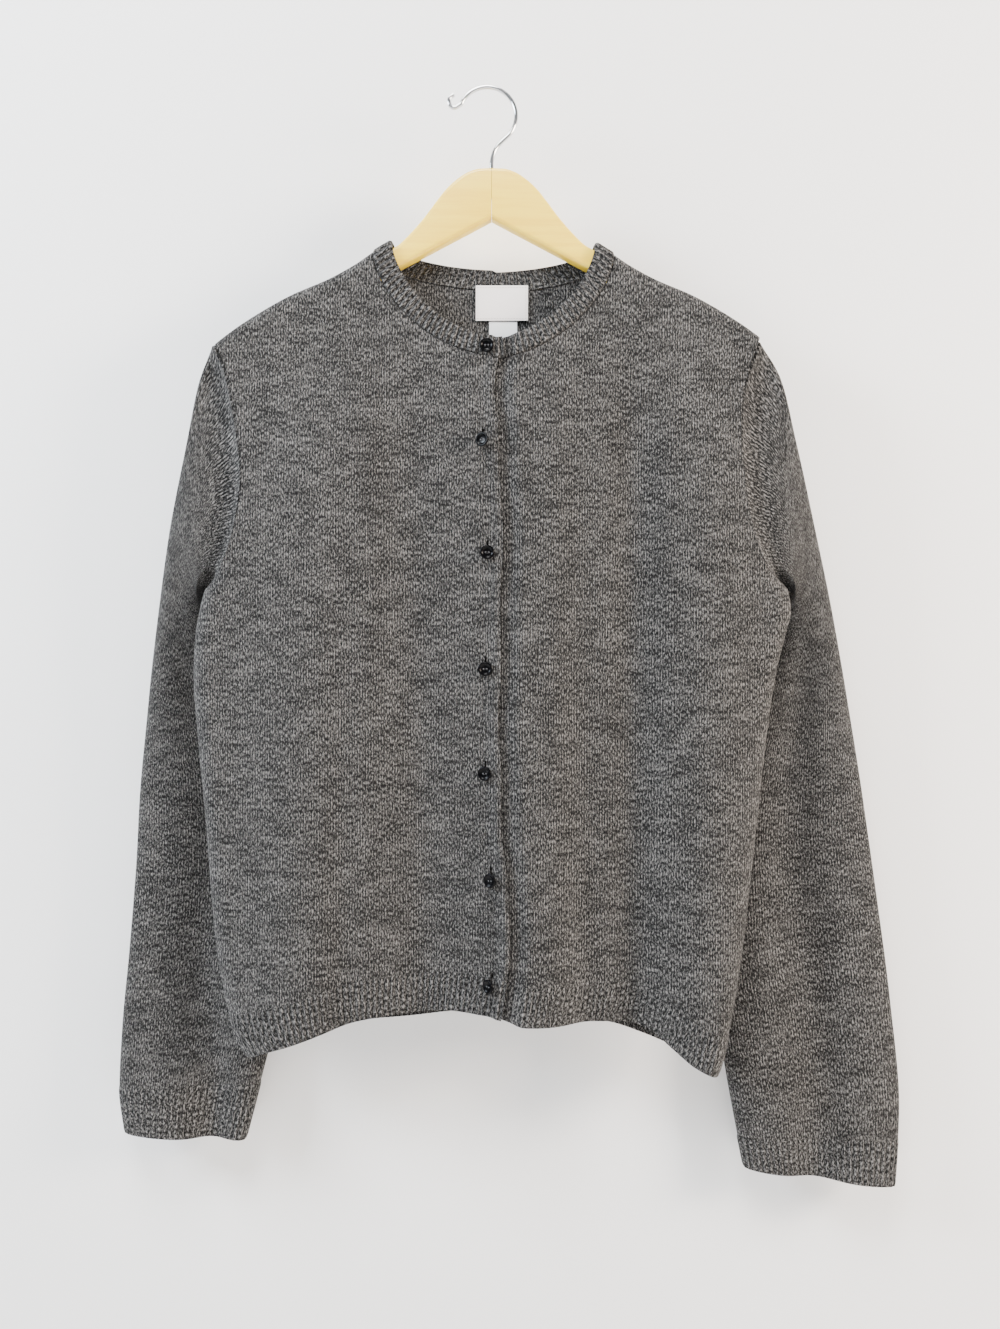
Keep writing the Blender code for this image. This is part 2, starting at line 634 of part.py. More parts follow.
def neckband():
    """Strip from the right end, over the right shoulder, round the back, to the left end."""
    right, right_neck = front_columns(-1)
    back, back_first, back_last = back_columns()
    left, left_neck = front_columns(1)
    stations = [(x, True, "front_right") for x in BAND_END_XS]
    for x_at in right[4:right_neck + 1]:
        stations.append((x_at(top_and_hem(x_at, True)[0]), True, "front_right"))
    for x_at in back[back_first + 1:back_last]:
        stations.append((x_at(top_and_hem(x_at, False)[0]), False, "back"))
    for x_at in reversed(left[:left_neck + 1]):
        stations.append((x_at(top_and_hem(x_at, True)[0]), True, "front_left"))
    outer = [[] for _ in BAND_ROWS]
    inward = [[] for _ in BAND_ROWS]
    for station in stations:
        seam, free, way = band_point(*station)
        seam = seam + (free - seam).normalized() * BAND_GAP
        for r, share in enumerate(BAND_ROWS):
            outer[r].append(free + (seam - free) * share - way * BAND_PROUD)
            inward[r].append(way)
    slit = BAND_ROWS.index(0.22), BAND_END_XS.index(1.5)
    return cloth_shell("neckband", outer, inward, BAND_CLOTH, "rib", holes=[slit])


# Labels lie on the inside of the back, moved out from its points

def label(name, size, lift):
    columns, rows = 6, 5
    outer, inward = [], []
    for r in range(rows + 1):
        drop = size["top"] + (size["bottom"] - size["top"]) * r / rows
        xs = spread(size["left"], size["right"], [c / columns for c in range(columns + 1)])
        line = [face_point(x, drop, "back") for x in xs]
        ways = [face_inward(x, drop, "back") for x in xs]
        outer.append([point + way * lift for point, way in zip(line, ways)])
        inward.append(ways)
    return cloth_shell(name, outer, inward, size["thick"], name.replace("_", " "))


# Buttons: a turned disc with a raised rim, on a post of thread through the buttonhole

def button_post(place, is_band):
    """Length of thread from the button's back to the left front behind it."""
    gap = UNDERLAP_STEP - SEAM_GAP
    return place.lift + gap - (BAND_PROUD if is_band else 0)


def button(name, place):
    is_band = place is BUTTONS[0]
    x = 0.2 if is_band else front_edge_x(place.drop) - BUTTON_INSET
    face = face_point(x, place.drop, "front_right")
    way = face_inward(x, place.drop, "front_right")
    post = button_post(place, is_band)
    profile = [(0, -1.5), (3.4, -1.5), (4.2, -2.3), (5.0, -2.4), (BUTTON_RADIUS, -1.6),
               (4.9, -0.4), (3.0, 0.0), (SHANK_RADIUS, 0.0), (SHANK_RADIUS, post), (0, post)]
    turn = Matrix.Rotation(math.radians(place.turn), 3, "Z")
    bm = bmesh.new()
    rings = []
    for radius, depth in profile:
        if radius == 0:
            rings.append([bm.verts.new((0, depth, 0))])
            continue
        ring = []
        for k in range(BUTTON_SIDES):
            angle = 2 * math.pi * k / BUTTON_SIDES
            ring.append(bm.verts.new((radius * math.cos(angle), depth, radius * math.sin(angle))))
        rings.append(ring)
    for a, b in zip(rings, rings[1:]):
        for k in range(BUTTON_SIDES):
            j = (k + 1) % BUTTON_SIDES
            corners = [a[k % len(a)], a[j % len(a)], b[j % len(b)], b[k % len(b)]]
            bm.faces.new(list(dict.fromkeys(corners)))
    middle = face - way * (place.lift + (BAND_PROUD if is_band else 0))
    lean = Vector((0, 1, 0)).rotation_difference(way).to_matrix()
    for vert in bm.verts:
        moved = vert.co.copy()
        if moved.y < 0.2:
            moved = turn @ moved
        vert.co = middle + lean @ moved
    return make_object(name, bm, "button", smooth_angle=35)


# Hanger: two wooden halves glued at the middle, with a wire hook screwed in between

Outline = namedtuple("Outline", "out drop")
HANGER_HUMP = [
    Outline(0, 63.4), Outline(9, 63.7), Outline(18, 66.3), Outline(27, 72), Outline(35, 79.3),
    Outline(43, 89.2), Outline(51, 100), Outline(58, 108.4), Outline(65, 116),
    Outline(73, 123.5),
]
ARM_OUTS = [90, 106, 127, 155, 180]


def hanger_outline():
    """Outline of one half: over the hump, along the arm's top, round the tip and back."""
    points = [(row.out, row.drop) for row in HANGER_HUMP]
    points += [(out, read(SHOULDER, "out", "drop", out) + HANGER_CLEAR) for out in ARM_OUTS]
    top = read(SHOULDER, "out", "drop", HANGER_TIP - 7) + HANGER_CLEAR
    bottom = NOTCH_DROP + ARM_SLOPE * (HANGER_TIP - 7)
    middle, radius = (top + bottom) / 2, (bottom - top) / 2
    for k in range(7):
        angle = math.pi * k / 6
        points.append((HANGER_TIP - 7 + 7 * math.sin(angle), middle - radius * math.cos(angle)))
    points.append((0, NOTCH_DROP))
    return points


def hanger_half(name, side, cutter):
    bm = bmesh.new()
    joint = SEAM_GAP / 2
    rim = [bm.verts.new((BODY_X + side * max(out, joint), -HANGER_HALF_THICK, -drop))
           for out, drop in hanger_outline()]
    front = bm.faces.new(rim)
    sweep = bmesh.ops.extrude_face_region(bm, geom=[front])
    moved = [part for part in sweep["geom"] if isinstance(part, bmesh.types.BMVert)]
    bmesh.ops.translate(bm, verts=moved, vec=(0, 2 * HANGER_HALF_THICK, 0))
    rims = [edge for edge in bm.edges
            if abs(edge.verts[0].co.y - edge.verts[1].co.y) < 0.01
            and min(abs(vert.co.x - BODY_X) for vert in edge.verts) < 300
            and max(abs(vert.co.x - BODY_X) for vert in edge.verts) > 1]
    bmesh.ops.bevel(bm, geom=rims, offset=HANGER_EDGE, segments=2, profile=0.5,
                    affect="EDGES", clamp_overlap=True)
    half = make_object(name, bm, "wood", smooth_angle=40)
    bore = half.modifiers.new("bore", "BOOLEAN")
    bore.operation = "DIFFERENCE"
    bore.solver = "EXACT"
    bore.object = cutter
    return half


def shank_cutter():
    """Guide for the hook's bore down the joint between the halves."""
    bm = bmesh.new()
    top, bottom = 50.0, SHANK_DEEP + SEAM_GAP
    place = Matrix.Translation((SHANK_X, 0, -(top + bottom) / 2))
    bmesh.ops.create_cone(bm, cap_ends=True, segments=12, radius1=SHANK_BORE,
                          radius2=SHANK_BORE, depth=bottom - top, matrix=place)
    cutter = make_object("bore_cutter", bm, "steel")
    cutter.hide_render = True
    cutter.display_type = "WIRE"
    return cutter


def hook_path():
    """Middle line of the wire: a curl at the open end, the round bight, and the shank."""
    centre_drop = HOOK_RADIUS - WIRE_RADIUS
    points = [(-26.2, 4.4), (-29.0, 6.6), (-29.8, 10.0), (-28.4, 13.2), (-25.4, 14.4), (-22.7, 13.0)]
    for k in range(22):
        angle = math.radians(-66 + (142 + 66) * k / 21)
        points.append((HOOK_RADIUS * math.sin(angle), centre_drop - HOOK_RADIUS * math.cos(angle)))
    points += [(9.3, 43.0), (6.4, 47.0), (4.6, 51.4), (SHANK_X, 56.5), (SHANK_X, 64.0),
               (SHANK_X, SHANK_DEEP)]
    return points


def hanger_hook():
    curve = bpy.data.curves.new("hanger_hook", "CURVE")
    curve.dimensions = "3D"
    points = hook_path()
    spline = curve.splines.new("POLY")
    spline.points.add(len(points) - 1)
    for target, (x, drop) in zip(spline.points, points):
        target.co = (x * MM, 0, -drop * MM, 1)
    curve.bevel_depth = WIRE_RADIUS * MM
    curve.bevel_resolution = 2
    curve.use_fill_caps = True
    curve.materials.append(material("steel"))
    thing = bpy.data.objects.new("hanger_hook", curve)
    bpy.context.scene.collection.objects.link(thing)
    return thing


def main():
    for thing in list(bpy.data.objects):
        bpy.data.objects.remove(thing, do_unlink=True)

    slits = slit_shares()
    right_rows = row_shares(arm_share(-1), ARM_ROWS, SIDE_ROWS, slits)
    left_rows = row_shares(arm_share(1), LEFT_ARM_ROWS, LEFT_SIDE_ROWS)
    right = front_panel("front_right", -1, right_rows)
    left = front_panel("front_left", 1, left_rows)
    back = back_panel()
    holes = [(right_rows.index(share), SLIT_COLUMN) for share in slits[::2]]
    cloth_shell("front_right", *right, CLOTH, "knit", holes=holes)
    cloth_shell("front_left", *left, CLOTH, "knit")
    cloth_shell("back", *back, CLOTH, "knit")
    for name, side, rows, front in (("sleeve_right", -1, SLEEVE_RIGHT, right),
                                    ("sleeve_left", 1, SLEEVE_LEFT, left)):
        cloth_shell(name, *sleeve(side, rows, front, back), CLOTH, "knit", closed=True)
    neckband()
    label("brand_label", BRAND_LABEL, BAND_CLOTH + SEAM_GAP)
    label("care_label", CARE_LABEL, CLOTH + SEAM_GAP)
    for number, place in enumerate(BUTTONS, start=1):
        button(f"button_{number}", place)
    cutter = shank_cutter()
    hanger_half("hanger_right", -1, cutter)
    hanger_half("hanger_left", 1, cutter)
    hanger_hook()


main()
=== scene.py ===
# A felted grey cardigan buttoned up on a wooden hanger, in front of a pale wall.
import math
import bmesh
import bpy
import numpy as np
from mathutils import Matrix, Vector


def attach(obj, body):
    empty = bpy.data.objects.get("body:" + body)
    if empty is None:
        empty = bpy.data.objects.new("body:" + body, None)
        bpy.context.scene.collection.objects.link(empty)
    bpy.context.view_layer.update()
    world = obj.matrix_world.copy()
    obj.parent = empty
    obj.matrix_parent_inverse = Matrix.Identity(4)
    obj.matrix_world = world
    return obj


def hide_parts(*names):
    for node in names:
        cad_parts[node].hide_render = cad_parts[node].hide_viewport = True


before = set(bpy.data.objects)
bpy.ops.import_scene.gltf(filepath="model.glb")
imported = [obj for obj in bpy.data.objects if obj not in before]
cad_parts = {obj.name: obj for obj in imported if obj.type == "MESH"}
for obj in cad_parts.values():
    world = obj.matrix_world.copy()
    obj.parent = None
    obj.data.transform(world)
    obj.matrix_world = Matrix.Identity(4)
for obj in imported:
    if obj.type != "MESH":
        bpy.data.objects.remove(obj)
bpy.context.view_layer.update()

print("frame loaded")

# Shape of the garment. Millimetres throughout: x to the wearer's left, y to the back,
# and drop is how far below the hook's crown a place lies.
mm = 0.001

cloth = {
    "thickness": 2.0, "bandThickness": 3.0, "bandProud": 0.6, "seamGap": 0.3, "bandGap": 0.7,
    "crest": 9.2, "crestShape": 2.6, "sideRoll": 13.0, "rollFrom": 371.0, "sideSeamY": 1.5,
    "underarm": 391.0, "bodyX": 3.5, "shoulderCos": 0.88,
}
neck = {
    "x": 5.0, "half": 94.0, "front": 83.0, "back": 26.0, "shape": 1.7,
    "freeHalf": 79.0, "freeFront": 76.0, "freeBack": 19.0,
}
placket = {
    "underlap": 23.0, "step": 3.6, "stepClear": 6.0, "stepRun": 10.0,
    "inset": 11.7, "slitHalf": 0.9, "slitAbove": 9.3, "slitBelow": 2.2,
}

# columns: drop, wearer's right, wearer's left
outerEdge = np.array([
    (196, -213, 211), (222, -201, 202), (245, -196, 196.5), (270, -191.5, 195.5),
    (305, -188, 197), (333, -191.5, 201), (355, -197, 207), (372, -204, 215),
    (384, -213, 227), (391, -220, 234.5), (408, -224.5, 237), (425, -227.5, 233),
    (458, -229, 225), (509, -225.5, 217.5), (580, -219, 209.5), (650, -213.5, 201.5),
    (700, -206, 194.5), (735, -197, 187.5), (752, -188, 183.5), (765, -184, 179.5)])
# columns: distance out from the middle, drop
shoulder = np.array([
    (0, 84), (40, 100), (79, 120.5), (90, 127), (106, 138), (127, 149.5), (155, 161.5),
    (176, 173), (195, 185), (210, 196), (218, 202.5)])
# columns: drop, x
frontEdge = np.array([
    (212, 8.5), (240, 5.5), (266, 8.5), (300, 9.3), (355, 12.3), (405, 10.0), (450, 10.8),
    (490, 8.6), (540, 11.0), (575, 11.0), (612, 15.3), (665, 17.5), (705, 13.0), (720, 10.8)])
# columns: x, drop of the fronts' hem, drop of the back's
hem = np.array([
    (-188, 752, 752), (-170, 745, 747), (-155, 740, 743), (-124, 729.5, 736),
    (-93, 721.5, 730), (-60, 719, 726), (-30, 717, 723), (5, 719, 722), (30, 724, 723),
    (60, 724.5, 727), (96, 725.5, 732), (123, 730.5, 740), (143, 744, 748),
    (157, 754.5, 756), (180, 765, 765)])
# columns: drop, depth in front of the hanger, depth behind it
depthAt = np.array([
    (200, 10.5, 9.5), (300, 13, 11), (450, 11, 11.5), (600, 8, 11), (740, 6, 10)])

# Soft folds, as x at the chest, x at the hem, width, height at the chest, height at the hem
frontFolds = [
    (-128, -143, 52, 6.5, 19), (20, 30, 36, 5, 19), (172, 172, 36, 7, 19),
    (-112, -111, 13, 0, -3.5), (72, 76, 14, 0, -2.5), (118, 112, 18, -2, -1),
    (-62, -48, 22, -3.6, -5.0), (112, 116, 17, -4.4, -6.0), (52, 56, 16, 2.0, 3.0)]
backFolds = [(-96, -104, 30, 1.0, 4.5), (-10, 4, 34, 1.5, 5.5), (92, 100, 28, 1.0, 4.0)]

# Rings of the sleeves: outer fold x, drop and y; inner fold x, drop and y; half depth;
# how much of the armhole's curve is left; depth and place of the soft valley in front
sleeveRings = {
    -1: np.array([
        (-213.0, 200, 0, -220.0, 391, 1.5, 14, 1.00, 0, 0.5),
        (-224.0, 228, 1, -225.0, 391.5, 3.5, 14, 0.80, 0, 0.5),
        (-235, 280, 3, -226.5, 395, 7, 14, 0.50, 0, 0.5),
        (-249, 343, 8, -225.0, 401, 12, 14, 0.25, 0, 0.5),
        (-259.5, 405, 13, -220.0, 411, 19, 14, 0.10, 0, 0.5),
        (-267, 460, 15, -206.0, 438, 29, 14, 0.00, 2, 0.5),
        (-271.5, 497, 17, -190.0, 473, 31, 13, 0.00, 4, 0.5),
        (-277, 550, 18, -163.0, 535, 32, 12, 0.00, 6, 0.5),
        (-281, 610, 20, -152.0, 605, 32, 11, 0.00, 8, 0.47),
        (-287, 680, 21, -158.0, 675, 31, 11, 0.00, 9, 0.46),
        (-292.5, 740, 21, -171.0, 735, 30, 11, 0.00, 10, 0.55),
        (-294.5, 785, 21, -183.0, 785, 26, 12, 0.00, 11, 0.66),
        (-290, 822, 21, -194.5, 830, 24, 12, 0.00, 11, 0.72)]),
    1: np.array([
        (211.0, 197, 0, 234.5, 391, 1.5, 14, 1.00, 0, 0.5),
        (228.0, 225, 1, 239.5, 391.5, 3.5, 14, 0.80, 0, 0.5),
        (241, 276, 3, 241.0, 395, 7, 14, 0.50, 0, 0.5),
        (255.5, 335, 8, 239.5, 401, 12, 14, 0.25, 0, 0.5),
        (271, 400, 13, 233.0, 411, 19, 14, 0.10, 0, 0.5),
        (281.5, 453, 15, 220.0, 440, 29, 14, 0.00, 2, 0.5),
        (288, 487, 17, 207.0, 478, 31, 13, 0.00, 4, 0.5),
        (297, 540, 18, 187.0, 537, 32, 12, 0.00, 6, 0.5),
        (305, 590, 20, 175.0, 600, 32, 11, 0.00, 8, 0.47),
        (313, 645, 21, 175.0, 667, 31, 11, 0.00, 9, 0.46),
        (322, 715, 21, 186.0, 738, 30, 11, 0.00, 9, 0.46),
        (329.5, 800, 21, 198.0, 810, 26, 12, 0.00, 9, 0.50),
        (326, 865, 21, 206.0, 852, 24, 12, 0.00, 9, 0.53)]),
}
# clearances, and how far the first ring is tucked under the fronts and the back
sleeveFit = {"clear": 3.0, "turn": 1.3, "seamFade": 2.5, "wallRoom": 7.0,
             "dent": 6.0, "dentAt": 0.5, "tuck": (2.2, -0.9)}


# Reads a column of a table at any place, on a smooth curve that never overshoots.
def between(table, at, column):
    places, values = table[:, 0], table[:, column]
    at = np.clip(np.asarray(at, float), places[0], places[-1])
    i = np.clip(np.searchsorted(places, at, side="right") - 1, 0, len(places) - 2)
    step = np.diff(values) / np.diff(places)
    before, after = step[:-1], step[1:]
    flat = before * after <= 0
    inner = np.where(flat, 0, 2 * before * after / np.where(flat, 1, before + after))
    slope = np.concatenate([step[:1], inner, step[-1:]])
    span = places[i + 1] - places[i]
    t = (at - places[i]) / span
    return (values[i] * (2 * t ** 3 - 3 * t ** 2 + 1) + values[i + 1] * (3 * t ** 2 - 2 * t ** 3)
            + slope[i] * span * (t ** 3 - 2 * t ** 2 + t) + slope[i + 1] * span * (t ** 3 - t ** 2))


def ease(t):
    t = np.clip(t, 0, 1)
    return t * t * (3 - 2 * t)


def crestRise(distance, reach, shape=2.0):
    t = np.clip(distance / reach, 0, 1)
    return (1 - (1 - t) ** shape) ** (1 / shape)


def shoulderDrop(x):
    return between(shoulder, np.abs(x - cloth["bodyX"]), 1)


def arch(x, half, depth):
    out = np.minimum(1.0, np.abs(x - neck["x"]) / half)
    return depth * (1 - out ** neck["shape"]) ** (1 / neck["shape"])


def topDrop(x, isFront):
    x = np.asarray(x, float)
    end = neck["x"] + np.where(x < neck["x"], -1, 1) * neck["half"]
    inNeck = shoulderDrop(end) + arch(x, neck["half"], neck["front" if isFront else "back"])
    return np.where(np.abs(x - neck["x"]) >= neck["half"], shoulderDrop(x), inNeck)


def hemDrop(x, isFront):
    return between(hem, x, 1 if isFront else 2)


def outerX(side, drop):
    return between(outerEdge, drop, 2 if side > 0 else 1)


def frontEdgeX(drop):
    return between(frontEdge, drop, 1)


def folds(rows, x, drop):
    down = np.clip((drop - 300) / 435, 0, 1)
    fade = 0.3 + 0.7 * ease((drop - 150) / 150)
    total = 0.0
    for chestX, hemX, width, chest, low in rows:
        middle = chestX + (hemX - chestX) * down
        total = total + fade * (chest + (low - chest) * down) * np.exp(-((x - middle) / width) ** 2)
    return total


# How far a panel's outer face lies from the hanger's middle.
def panelDepth(x, drop, isFront):
    full = between(depthAt, drop, 1 if isFront else 2)
    full = full + folds(frontFolds if isFront else backFolds, x, drop)
    below = (drop - shoulderDrop(x)) * cloth["shoulderCos"]
    depth = cloth["crest"] + (full - cloth["crest"]) * ease(below / 150)
    depth = depth * crestRise(below, cloth["crest"], cloth["crestShape"])
    inside = np.where(x > 0, outerX(1, drop) - x, x - outerX(-1, drop))
    roll = crestRise(inside, cloth["sideRoll"])
    share = ease((drop - cloth["rollFrom"]) / (cloth["underarm"] - cloth["rollFrom"]))
    seam = -cloth["sideSeamY"] if isFront else cloth["sideSeamY"]
    return depth * (1 - share) + share * (seam + (depth - seam) * roll)


# Places on a panel's outer face, as an array of x, y, z.
def facePoint(x, drop, panel):
    depth = panelDepth(x, drop, panel != "back")
    if panel == "front_left":
        past = x - frontEdgeX(drop) - placket["stepClear"]
        depth = depth - placket["step"] * (1 - ease(past / placket["stepRun"]))
    if panel == "front_right":
        depth = depth + placketRelief(x, drop)
    depth = depth + cloth["seamGap"] / 2
    return np.stack([x, depth if panel == "back" else -depth, -np.asarray(drop, float)], axis=-1)


# The turned edge stands up and the line of buttons sits in a groove, more so lower down.
def placketRelief(x, drop):
    inside = frontEdgeX(drop) - x
    low = 0.35 + 0.65 * ease((drop - 480) / 180)
    edge = np.exp(-((inside - 3.2) / 2.6) ** 2)
    groove = np.exp(-((inside - 10.5) / 4.0) ** 2)
    return low * (placketLook["edge"] * edge - placketLook["groove"] * groove)


def unit(v):
    return v / np.maximum(np.linalg.norm(v, axis=-1, keepdims=True), 1e-9)


# Directions into the cloth all over a grid, from the grid's own slopes.
def gridInward(points, wanted):
    across, down = np.gradient(points, axis=1), np.gradient(points, axis=0)
    normal = unit(np.cross(across, down))
    middle = normal[normal.shape[0] // 2, normal.shape[1] // 2, 1]
    return normal if middle * wanted > 0 else -normal


def shoulderInward(x):
    slope = (shoulderDrop(x + 2) - shoulderDrop(x - 2)) / 4
    return unit(np.stack([-slope, np.zeros_like(slope), -np.ones_like(slope)], axis=-1))


# Meshes

# Points, faces and coordinates of a wall of cloth between a grid and the same grid moved in.
def shellParts(outer, inward, thickness, uv, closed=False, holes=(), slot=0, start=0):
    rows, columns = outer.shape[:2]
    points = np.concatenate([outer.reshape(-1, 3), (outer + inward * thickness).reshape(-1, 3)])
    index = np.arange(rows * columns).reshape(rows, columns)
    wrap = columns if closed else columns - 1
    alive = np.ones((rows - 1, wrap), bool)
    for r, c in holes:
        alive[r, c] = False
    c = np.arange(wrap)
    d = (c + 1) % columns
    a, b = index[:-1][:, c], index[:-1][:, d]
    e, f = index[1:][:, d], index[1:][:, c]
    u, v = uv
    corner = np.stack([np.stack([u[:-1, :-1], v[:-1, :-1]], -1), np.stack([u[:-1, 1:], v[:-1, 1:]], -1),
                       np.stack([u[1:, 1:], v[1:, 1:]], -1), np.stack([u[1:, :-1], v[1:, :-1]], -1)], 2)
    face = np.stack([a, b, e, f], -1)
    back = face[..., ::-1] + rows * columns
    faces = [face[alive], back[alive]]
    coords = [corner[alive], corner[alive][:, ::-1]]
    lift = rows * columns
    for dr, dc, p, q in ((-1, 0, 0, 1), (1, 0, 2, 3), (0, -1, 3, 0), (0, 1, 1, 2)):
        beside = np.zeros_like(alive)
        if dr:
            beside[max(0, -dr):rows - 1 - max(0, dr)] = alive[max(0, dr):rows - 1 - max(0, -dr)]
        elif closed:
            beside = np.roll(alive, -dc, axis=1)
        else:
            beside[:, max(0, -dc):wrap - max(0, dc)] = alive[:, max(0, dc):wrap - max(0, -dc)]
        rim = alive & ~beside
        first, second = face[rim][:, p], face[rim][:, q]
        faces.append(np.stack([second, first, first + lift, second + lift], -1))
        cp, cq = corner[rim][:, p], corner[rim][:, q]
        coords.append(np.stack([cq, cp, cp, cq], 1))
    faces = np.concatenate(faces) + start
    coords = np.concatenate(coords)
    return points, faces, coords, np.full(len(faces), slot)


def makeObject(name, points, faces, materials, coords=None, slots=None, sharp=50):
    mesh = bpy.data.meshes.new(name)
    mesh.from_pydata((np.asarray(points) * mm).tolist(), [], [list(map(int, face)) for face in faces])
    for entry in materials:
        mesh.materials.append(entry)
    if slots is not None:
        mesh.polygons.foreach_set("material_index", np.asarray(slots, np.int32))
    if coords is not None:
        layer = mesh.uv_layers.new(name="cloth")
        layer.data.foreach_set("uv", (np.asarray(coords, float).reshape(-1) * mm).astype(np.float32))
    mesh.shade_smooth()
    mesh.set_sharp_from_angle(angle=math.radians(sharp))
    mesh.update()
    obj = bpy.data.objects.new(name, mesh)
    bpy.context.scene.collection.objects.link(obj)
    return obj


def makeShells(name, shells, materials):
    points, faces, coords, slots = [], [], [], []
    start = 0
    for shell in shells:
        p, f, c, s = shellParts(**shell, start=start)
        points.append(p)
        faces.append(f)
        coords.append(c)
        slots.append(s)
        start += len(p)
    return makeObject(name, np.concatenate(points), np.concatenate(faces), materials,
                      np.concatenate(coords), np.concatenate(slots))


def declare(obj, slot, *nodes):
    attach(obj, "root")
    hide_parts(*nodes)
    return obj


# Ribbed knitting is laid out so that one rib is always this wide in the cloth's coordinates.
ribUnit = 4.25


# Panels

panelLook = {"columnStep": 3.2, "rowStep": 3.4, "hemTall": 30.0, "hemStep": 0.62, "hemRows": 9,
             "ribPitch": 4.25, "ribHeight": 0.8, "edgeColumns": [0, 0.8, 2, 4, 7, 11, 15, 20]}
placketLook = {"edge": 1.7, "groove": 1.3}
# columns: drop, turn in degrees, how far the button stands off the cloth
buttonRows = [(204.5, 8, 1.9), (277.8, -26, 3.6), (363.6, 8, 1.9), (452.4, 10, 2.0),
              (532.1, -8, 1.9), (613.4, -24, 3.4), (693.9, -34, 4.4)]


# Drops at which columns of a panel cross an edge, by halving.
def meet(xAt, edgeDrop, count):
    low, high = np.full(count, 60.0), np.full(count, 800.0)
    for _ in range(40):
        middle = (low + high) / 2
        above = middle < edgeDrop(xAt(middle))
        low, high = np.where(above, middle, low), np.where(above, high, middle)
    return (low + high) / 2


def firstX(side, drop):
    return frontEdgeX(drop) - (placket["underlap"] if side > 0 else 0)


def frontColumns(side, step):
    look = panelLook
    near = [0, 0.8, 1.8, 3.2, 5, 7, 8.8, placket["inset"] - placket["slitHalf"],
            placket["inset"] + placket["slitHalf"], 14.5, 17, 20]
    if step < 1:
        near = list(np.arange(0, 20.01, step))
    fixed = near[-1] + look["edgeColumns"][-1]
    width = abs(outerX(side, 0) - firstX(side, 0)) - fixed
    neckShare = (abs(neck["x"] + side * neck["half"] - firstX(side, 0)) - near[-1]) / width
    shares = np.concatenate([
        np.linspace(0, neckShare, max(2, int(neckShare * width / step)))[1:],
        np.linspace(neckShare, 1, max(2, int((1 - neckShare) * width / step)))[1:]])
    edges = look["edgeColumns"][::-1] if step >= 1 else list(np.arange(20, -0.01, -step))
    distance = np.concatenate([near, np.full(len(shares), near[-1]),
                               fixed - np.array(edges[1:], float)])
    share = np.concatenate([np.zeros(len(near)), shares, np.ones(len(edges) - 1)])

    def xAt(drop):
        room = np.abs(outerX(side, drop) - firstX(side, drop)) - fixed
        return firstX(side, drop) + side * (distance + share * room)
    return xAt, len(distance)


def backColumns(step):
    edges = np.array(panelLook["edgeColumns"] if step >= 1 else np.arange(0, 20.01, step), float)
    fixed = 2 * edges[-1]
    start = outerX(-1, 0)
    width = outerX(1, 0) - start - fixed
    stops = [0] + [(neck["x"] + k * neck["half"] - start - edges[-1]) / width for k in (-1, 1)] + [1]
    shares = np.concatenate([np.linspace(a, b, max(2, int((b - a) * width / step)))[1:]
                             for a, b in zip(stops, stops[1:])])
    distance = np.concatenate([edges, np.full(len(shares), edges[-1]), fixed - edges[::-1][1:]])
    share = np.concatenate([np.zeros(len(edges)), shares, np.ones(len(edges) - 1)])

    def xAt(drop):
        room = outerX(1, drop) - outerX(-1, drop) - fixed
        return outerX(-1, drop) + distance + share * room
    return xAt, len(distance)


# Two grids for a panel: the plain knit from the top down, and its ribbed hem.
def panelShells(panel, side):
    isFront = panel != "back"
    look = panelLook
    shells = []
    for isHem in (False, True):
        step = look["hemStep"] if isHem else look["columnStep"]
        xAt, count = frontColumns(side, step) if isFront else backColumns(step)
        top = meet(xAt, lambda x: topDrop(x, isFront), count)
        bottom = meet(xAt, lambda x: hemDrop(x, isFront), count)
        if isHem:
            rows = np.linspace(0, 1, look["hemRows"])
            drops = bottom - look["hemTall"] + 0.15 + rows[:, None] * (look["hemTall"] - 0.15)
        else:
            # close rows over the shoulder, then even ones
            upper = [0, 0.4, 1.1, 2.2, 3.8, 6, 9, 12.5]
            long = float(np.mean(bottom - top)) - look["hemTall"]
            shares = list(np.array(upper) / long)
            shares += list(np.linspace(shares[-1], 1, int(long / look["rowStep"])))[1:]
            shares = np.array(sorted(shares + slitEnds(xAt, count, look["hemTall"], panel)))
            drops = top + shares[:, None] * (bottom - look["hemTall"] - top)
        xs = np.stack([xAt(row) for row in drops])
        outer = facePoint(xs, drops, panel)
        inward = gridInward(outer, 1 if isFront else -1)
        if not isHem:
            seam = np.abs(xs[0] - neck["x"]) >= neck["half"] - 0.01
            inward[0][seam] = shoulderInward(xs[0][seam])
        along = np.concatenate([[0], np.cumsum(np.linalg.norm(np.diff(outer[-1], axis=0), axis=1))])
        if isHem:
            ridge = 0.5 + 0.5 * np.cos(2 * math.pi * along / look["ribPitch"])
            soft = np.minimum(1, np.minimum(rows, 1 - rows) * 9 + 0.35)
            outer = outer - inward * (ridge[None, :] * look["ribHeight"] * soft[:, None])[..., None]
        us = xs + 7 * (panel == "back")
        if isHem:
            us = np.repeat(along[None] / look["ribPitch"] * ribUnit, len(drops), 0)
        holes = slitCells(xs, drops) if panel == "front_right" else ()
        shells.append({"outer": outer, "inward": inward, "thickness": cloth["thickness"],
                       "uv": (us, drops), "holes": holes,
                       "slot": int(isHem)})
    return shells


